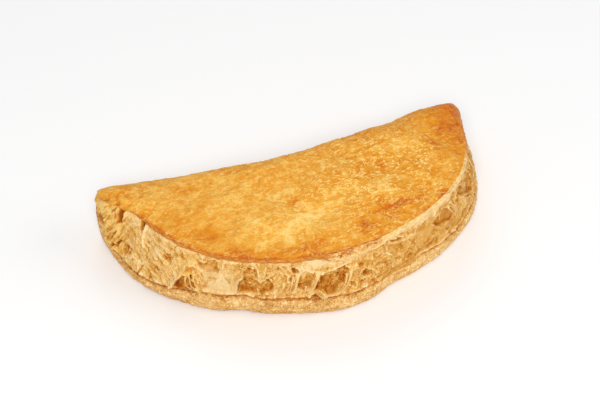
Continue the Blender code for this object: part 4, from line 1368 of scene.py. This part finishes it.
class Tree:
    """A material's nodes, added one by one. An input is given a number, a colour or another node's output."""

    def __init__(self, name):
        self.material = bpy.data.materials.new(name)
        self.material.use_nodes = True
        self.nodes = self.material.node_tree.nodes
        self.links = self.material.node_tree.links
        self.shader = self.nodes["Principled BSDF"]

    def feed(self, node, inputs):
        """Plugs each value into the node's input of that name or number."""
        for key, value in inputs.items():
            self.plug(node.inputs[key], value)

    def plug(self, socket, value):
        """Links another node's output to an input, or sets the input to a plain value."""
        if isinstance(value, bpy.types.NodeSocket):
            self.links.new(value, socket)
        else:
            socket.default_value = value

    def add(self, kind, output, inputs=None, **settings):
        """Adds a node with its inputs and settings, and gives the output asked for."""
        node = self.nodes.new(kind)
        for key, value in settings.items():
            setattr(node, key, value)
        self.feed(node, inputs or {})
        return node.outputs[output]

    def maths(self, operation, *values):
        """One operation on numbers or outputs."""
        return self.add("ShaderNodeMath", 0, dict(enumerate(values)), operation=operation)

    def attribute(self, name):
        """A value of the piece's own, which its builder stored at each point."""
        return self.add("ShaderNodeAttribute", "Fac", attribute_name=name)

    def place(self, scale=(1, 1, 1), turn=(0, 0, 0)):
        """Object coordinates in millimetres, scaled and turned."""
        coordinates = self.add("ShaderNodeTexCoord", "Object")
        inputs = {"Vector": coordinates, "Scale": tuple(s / MM for s in scale), "Rotation": turn}
        return self.add("ShaderNodeMapping", "Vector", inputs)

    def noise(self, place, size, detail=3, distortion=0.0):
        """Noise about one size (in millimetres) across, from 0 to 1 round 0.5."""
        inputs = {"Vector": place, "Scale": 1 / size, "Detail": detail, "Distortion": distortion}
        return self.add("ShaderNodeTexNoise", "Fac", inputs)

    def sum(self, *terms):
        """Adds up outputs, each less its centre and times its weight. A term is output, weight and centre."""
        total = None
        for source, weight, centre in terms:
            part = self.maths("MULTIPLY_ADD", source, weight, -weight * centre)
            total = part if total is None else self.maths("ADD", total, part)
        return total

    def away(self, value, middle):
        """How far a value is from a middle, either way."""
        return self.maths("ABSOLUTE", self.maths("SUBTRACT", value, middle))

    def band(self, value, low, high):
        """0 up to low, 1 from high, eased between."""
        inputs = {"Value": value, "From Min": low, "From Max": high}
        return self.add("ShaderNodeMapRange", "Result", inputs, interpolation_type="SMOOTHSTEP")

    def ramp(self, value, stops):
        """A colour by a value, from stops of a place and a linear colour."""
        node = self.nodes.new("ShaderNodeValToRGB")
        elements = node.color_ramp.elements
        for _ in range(len(stops) - 2):
            elements.new(0.5)
        for element, (place, colour) in zip(elements, stops):
            element.position = place
            element.color = (*colour, 1)
        self.links.new(value, node.inputs["Fac"])
        return node.outputs["Color"]

    def mix(self, share, first, second):
        """One colour where share is 0 and another where it is 1."""
        node = self.nodes.new("ShaderNodeMix")
        node.data_type = "RGBA"
        colours = [socket for socket in node.inputs if socket.type == "RGBA"]
        self.feed(node, {0: share})
        for socket, value in zip(colours, (first, second)):
            self.plug(socket, value if isinstance(value, bpy.types.NodeSocket) else (*value, 1))
        return next(socket for socket in node.outputs if socket.type == "RGBA")

    def bump(self, height, distance, strength=1.0, under=None):
        """Grain too fine for the mesh, by a height and how far that reaches in millimetres."""
        inputs = {"Height": height, "Distance": distance * MM, "Strength": strength}
        if under:
            inputs["Normal"] = under
        return self.add("ShaderNodeBump", "Normal", inputs)

    def finish(self, colour, roughness, normal, **constants):
        """Plugs the looks into the shader."""
        self.feed(self.shader, {"Base Color": colour, "Roughness": roughness, "Normal": normal, **constants})
        return self.material


SUBSURFACE = {
    "Subsurface Weight": 0.06,
    "Subsurface Radius": (1.0, 0.45, 0.18),
    "Subsurface Scale": 1.2 * MM,
    "Specular IOR Level": 0.05,
}


def linear(*colour):
    """Turns a screen colour from 0 to 255 into the linear light that shaders work in."""
    share = np.array(colour) / 255
    return tuple(float(c) for c in np.where(share <= 0.04045, share / 12.92, ((share + 0.055) / 1.055) ** 2.4))


def finish_of(recipe, settings):
    """The material that a recipe gives, made once under the recipe's own name and then shared."""
    name = recipe.__name__
    return bpy.data.materials.get(name) or recipe(Tree(name), settings)


def browned_crust(tree, settings):
    """Egg-washed pastry: cream, gold and brown by how baked it is, flecked with pale flakes and arcs and finely
    blistered. The cut edge has layers of its own, darker and porous or pale."""
    place = tree.place()
    streaked = tree.place(scale=(0.6, 1.0, 1.0), turn=(0, 0, 0.15))
    broad = tree.noise(place, 6, 3, 1.0)
    mottle = tree.noise(streaked, 1.9, 2, 0.9)
    fine = tree.noise(place, 0.6, 2)
    baked = tree.sum((tree.attribute("bake"), 1, 0), (broad, 0.45, 0.5), (mottle, 0.43, 0.5), (fine, 0.34, 0.5))
    stops = [
        (0.0, tuple(settings.cream)),
        (0.30, linear(242, 184, 78)),
        (0.48, tuple(settings.gold)),
        (0.68, linear(226, 146, 30)),
        (0.89, tuple(settings.brown)),
        (1.0, tuple(settings.scorched)),
    ]
    crust = tree.ramp(baked, stops)
    flecks = tree.noise(streaked, 1.7, 2, 1.6)
    arcs = tree.band(tree.away(tree.noise(place, 3.4, 1, 1.5), 0.5), 0.034, 0.014)
    arcs = tree.maths("MULTIPLY", arcs, tree.band(flecks, 0.46, 0.56))
    spots = tree.maths("MAXIMUM", tree.band(flecks, 0.565, 0.62), arcs)
    crust = tree.mix(tree.maths("MULTIPLY", spots, tree.attribute("fleck")), crust, linear(255, 217, 130))
    layers = tree.noise(tree.place(scale=(0.35, 0.35, 2.2)), 0.8, 3)
    edge_dark = tree.ramp(layers, [(0.36, linear(176, 98, 28)), (0.66, linear(228, 154, 62))])
    edge_pale = tree.ramp(layers, [(0.32, linear(222, 170, 92)), (0.6, linear(250, 216, 150))])
    porous = tree.sum((tree.attribute("pale"), 1, 0), (tree.noise(place, 0.8, 2), 1.3, 0.5))
    edge = tree.mix(tree.band(porous, 0.22, 0.78), edge_dark, edge_pale)
    colour = tree.mix(tree.attribute("cut"), crust, edge)
    rough = tree.sum((mottle, 0.25, 0.5), (fine, 0.2, 0.5), (tree.attribute("bake"), -0.12, 0.5))
    normal = tree.bump(fine, 0.22, 0.8, tree.bump(mottle, 0.45, 0.8))
    return tree.finish(colour, tree.maths("ADD", rough, 0.52), normal, **{**SUBSURFACE, "Specular IOR Level": 0.14})


def torn_pastry(tree, settings):
    """Skins of dough: cream where they stand out, golden brown in the hollows, partly as painted highlight and
    painted shade, with fine fibres. Thin skins are paler and greyer throughout, the crinkled tip is warmer, and
    the seam above the lip is brown, partly as painted shade in its groove."""
    place = tree.place()
    patch = tree.noise(place, 5, 3, 0.5)
    fibre = tree.noise(tree.place(scale=(1, 1, 0.5)), 0.9, 3, 1.0)
    fine = tree.noise(place, 0.4, 2)
    thread = tree.maths("MULTIPLY", tree.sum((fibre, 0.75, 0.5), (fine, 0.55, 0.5)), tree.attribute("grain"))
    tone = tree.sum((tree.attribute("sunk"), 1.0, 0), (patch, 0.30, 0.5), (thread, 1, 0))
    stops = [
        (0.0, tuple(settings.skin)),
        (0.22, linear(237, 193, 120)),
        (0.42, linear(217, 161, 78)),
        (0.62, tuple(settings.hollow)),
        (0.82, linear(172, 98, 28)),
        (1.0, linear(136, 68, 18)),
    ]
    thin = tree.ramp(tone, [(0.1, linear(240, 211, 156)), (0.4, linear(227, 186, 124)), (0.8, linear(196, 132, 60))])
    warm = tree.ramp(tone, [(0.1, linear(242, 196, 104)), (0.4, linear(222, 156, 58)), (0.8, linear(170, 90, 22))])
    colour = tree.mix(tree.attribute("pallor"), tree.ramp(tone, stops), thin)
    colour = tree.mix(tree.attribute("warm"), colour, warm)
    # The seam's brown is partly its own colour and partly painted shade in the groove above the lip.
    colour = tree.mix(tree.attribute("seam"), colour, linear(188, 106, 32))
    rough = tree.maths("ADD", tree.sum((fibre, 0.3, 0.5)), 0.55)
    normal = tree.bump(fine, 0.14, 0.8, tree.bump(fibre, 0.35, 0.8))
    return tree.finish(colour, rough, normal, **{**SUBSURFACE, "Subsurface Weight": 0.10})


def sandy_crust(tree, settings):
    """The base: tan and sandy, with dark and light grains, browner the more it is toasted."""
    place = tree.place()
    patch = tree.noise(tree.place(scale=(0.5, 0.5, 1.6)), 4, 3)
    grain = tree.noise(place, 1.5, 3, 0.8)
    fine = tree.noise(place, 0.55, 1)
    # The seam term is partly painted shade under the hem.
    tone = tree.sum(
        (tree.attribute("toast"), 0.40, 0),
        (tree.attribute("seam"), 0.32, 0),
        (patch, 0.75, -0.09),
        (grain, 1.15, 0.5),
        (fine, 1.0, 0.5),
    )
    stops = [
        (0.0, linear(254, 228, 172)),
        (0.25, linear(234, 192, 124)),
        (0.5, tuple(settings.lip)),
        (0.76, linear(186, 122, 54)),
        (1.0, linear(146, 80, 26)),
    ]
    rough = tree.maths("ADD", tree.sum((grain, 0.25, 0.5)), 0.68)
    normal = tree.bump(fine, 0.12, 0.6, tree.bump(grain, 0.35, 0.7))
    return tree.finish(tree.ramp(tone, stops), rough, normal, **SUBSURFACE)


def pale_floor(tree, settings):
    """Plain paper, nearly white, with the faintest of clouds in it."""
    colour = (0.97, 0.97, 0.97)
    speck = tree.noise(tree.place(), 40, 2)
    shade = tree.mix(tree.sum((speck, 0.1, 0.5)), colour, tuple(c * 0.97 for c in colour))
    return tree.finish(shade, 0.8, tree.bump(speck, 0.01, 0.1))


# The stage


def build_floor(settings):
    """A wide flat sheet that curves up far behind the pie, by a quarter circle."""
    half, reach, radius, top, columns = 2.5, 1.6, 1.0, 3.0, 24
    turn = np.linspace(0, np.pi / 2, columns)
    y = np.concatenate([[-half], reach + radius * np.sin(turn), [reach + radius]])
    z = np.concatenate([[0], radius * (1 - np.cos(turn)), [top]]) - 0.2 * MM
    points = stacked(np.array([-half, half])[:, None], y[None], z[None]).reshape(-1, 3)
    k, rows = np.arange(len(y) - 1), len(y)
    faces = np.stack([k, k + rows, k + rows + 1, k + 1], -1)
    link_mesh("floor", points, faces.tolist(), finish_of(pale_floor, settings))


def aim(thing, place, target):
    """Stands a light or a camera at a place, and turns it towards a target."""
    thing.location = place
    thing.rotation_euler = (Vector(target) - Vector(place)).to_track_quat("-Z", "Y").to_euler()


def build_lights(scene):
    """A broad soft light over the front, a weaker one on the right, one behind, and pale light from all round."""
    for lamp in LAMPS:
        light = bpy.data.lights.new(lamp.name, "AREA")
        light.shape = "DISK"
        light.size = lamp.size
        light.energy = lamp.power
        holder = bpy.data.objects.new(lamp.name, light)
        scene.collection.objects.link(holder)
        aim(holder, lamp.place, LAMP_TARGET)
    world = bpy.data.worlds.new("studio")
    world.use_nodes = True
    background = world.node_tree.nodes["Background"]
    background.inputs["Color"].default_value = (1, 1, 1, 1)
    background.inputs["Strength"].default_value = SKY_STRENGTH
    scene.world = world
    scene.view_settings.view_transform = "Standard"


def build_camera(scene):
    """Stands the camera off the target by its distance, turn and height."""
    turn, height = math.radians(CAMERA_TURN), math.radians(CAMERA_HEIGHT)
    towards = Vector((math.sin(turn) * math.cos(height), -math.cos(turn) * math.cos(height), math.sin(height)))
    camera = bpy.data.cameras.new("camera")
    camera.lens = CAMERA_LENS
    camera.sensor_width = CAMERA_SENSOR
    camera.clip_start = 10 * MM
    holder = bpy.data.objects.new("camera", camera)
    scene.collection.objects.link(holder)
    target = Vector(CAMERA_TARGET)
    aim(holder, target + towards * CAMERA_DISTANCE, target)
    scene.camera = holder


# The add-on


class PieSettings(PropertyGroup):
    """Sizes and colours of the pie"""

    length: FloatProperty(name="Length", description="From tip to tip", default=LENGTH, unit="LENGTH")
    depth: FloatProperty(name="Depth", description="From front to back", default=DEPTH, unit="LENGTH")
    height: FloatProperty(name="Height", description="From base to crown", default=HEIGHT, unit="LENGTH")
    relief: FloatProperty(
        name="Torn relief",
        description="Depth of the torn side's hollows",
        default=1.0,
        min=0,
        max=1.5,
        subtype="FACTOR",
    )
    blisters: FloatProperty(
        name="Blisters",
        description="Height of the lid's blisters",
        default=1.0,
        min=0,
        max=3,
        subtype="FACTOR",
    )
    shreds: IntProperty(name="Shreds", description="Small leaves on the torn side", default=36, min=1, max=400)
    flakes: IntProperty(name="Flakes", description="Scales lifting off the lid", default=900, min=1, max=1500)
    cream: FloatVectorProperty(
        name="Palest crust", description="Colour of unbaked crust", subtype="COLOR", default=linear(253, 212, 126)
    )
    gold: FloatVectorProperty(
        name="Golden crust", description="Colour of well baked crust", subtype="COLOR", default=linear(233, 162, 54)
    )
    brown: FloatVectorProperty(
        name="Brown crust", description="Colour of dark crust", subtype="COLOR", default=linear(213, 119, 24)
    )
    scorched: FloatVectorProperty(
        name="Scorched crust", description="Colour of the darkest spots", subtype="COLOR", default=linear(198, 97, 24)
    )
    skin: FloatVectorProperty(
        name="Torn skin", description="Colour of the outermost skins", subtype="COLOR", default=linear(252, 222, 164)
    )
    hollow: FloatVectorProperty(
        name="Hollow", description="Colour of the deep hollows", subtype="COLOR", default=linear(195, 127, 40)
    )
    lip: FloatVectorProperty(
        name="Base lip", description="Colour of the base crust", subtype="COLOR", default=linear(213, 162, 92)
    )


class PIE_OT_lid(Operator):
    """Adds the browned lid, with its cut edge and the fold behind it"""

    bl_idname = "pie.lid"
    bl_label = "Browned Lid"

    def execute(self, context):
        build_lid(context.scene.pie)
        return {"FINISHED"}


class PIE_OT_torn_side(Operator):
    """Adds the torn side, with its hollows and wrinkles"""

    bl_idname = "pie.torn_side"
    bl_label = "Torn Side"

    def execute(self, context):
        build_torn_side(context.scene.pie)
        return {"FINISHED"}


class PIE_OT_base(Operator):
    """Adds the base crust and its lip"""

    bl_idname = "pie.base"
    bl_label = "Base Crust"

    def execute(self, context):
        build_base(context.scene.pie)
        return {"FINISHED"}


class PIE_OT_strands(Operator):
    """Adds the strands of dough across the hollows"""

    bl_idname = "pie.strands"
    bl_label = "Pulled Strands"

    def execute(self, context):
        build_strands(context.scene.pie)
        return {"FINISHED"}


class PIE_OT_leaves(Operator):
    """Adds the leaves and shreds that hang off the torn side"""

    bl_idname = "pie.leaves"
    bl_label = "Torn Leaves"

    def execute(self, context):
        build_leaves(context.scene.pie)
        return {"FINISHED"}


class PIE_OT_flakes(Operator):
    """Adds the thin flakes that lift off the lid"""

    bl_idname = "pie.flakes"
    bl_label = "Lifted Flakes"

    def execute(self, context):
        build_flakes(context.scene.pie)
        return {"FINISHED"}


class PIE_OT_stage(Operator):
    """Adds the floor, the lights and the camera"""

    bl_idname = "pie.stage"
    bl_label = "Stage"

    def execute(self, context):
        build_floor(context.scene.pie)
        build_lights(context.scene)
        build_camera(context.scene)
        return {"FINISHED"}


OPERATORS = (
    PIE_OT_lid,
    PIE_OT_torn_side,
    PIE_OT_base,
    PIE_OT_strands,
    PIE_OT_leaves,
    PIE_OT_flakes,
    PIE_OT_stage,
)


class PIE_PT_panel(Panel):
    """Lists the pieces of the pie and their sizes and colours"""

    bl_idname = "PIE_PT_panel"
    bl_label = "Cheese Pie"
    bl_space_type = "VIEW_3D"
    bl_region_type = "UI"
    bl_category = "Cheese Pie"

    def draw(self, context):
        for name in PieSettings.__annotations__:
            self.layout.prop(context.scene.pie, name)
        for operator in OPERATORS:
            self.layout.operator(operator.bl_idname)


CLASSES = (PieSettings, *OPERATORS, PIE_PT_panel)


def register():
    for cls in CLASSES:
        bpy.utils.register_class(cls)
    bpy.types.Scene.pie = PointerProperty(type=PieSettings)


def unregister():
    del bpy.types.Scene.pie
    for cls in reversed(CLASSES):
        bpy.utils.unregister_class(cls)


def main():
    register()
    bpy.ops.pie.lid()
    bpy.ops.pie.torn_side()
    bpy.ops.pie.base()
    bpy.ops.pie.strands()
    bpy.ops.pie.leaves()
    bpy.ops.pie.flakes()
    bpy.ops.pie.stage()


if __name__ == "__main__":
    main()
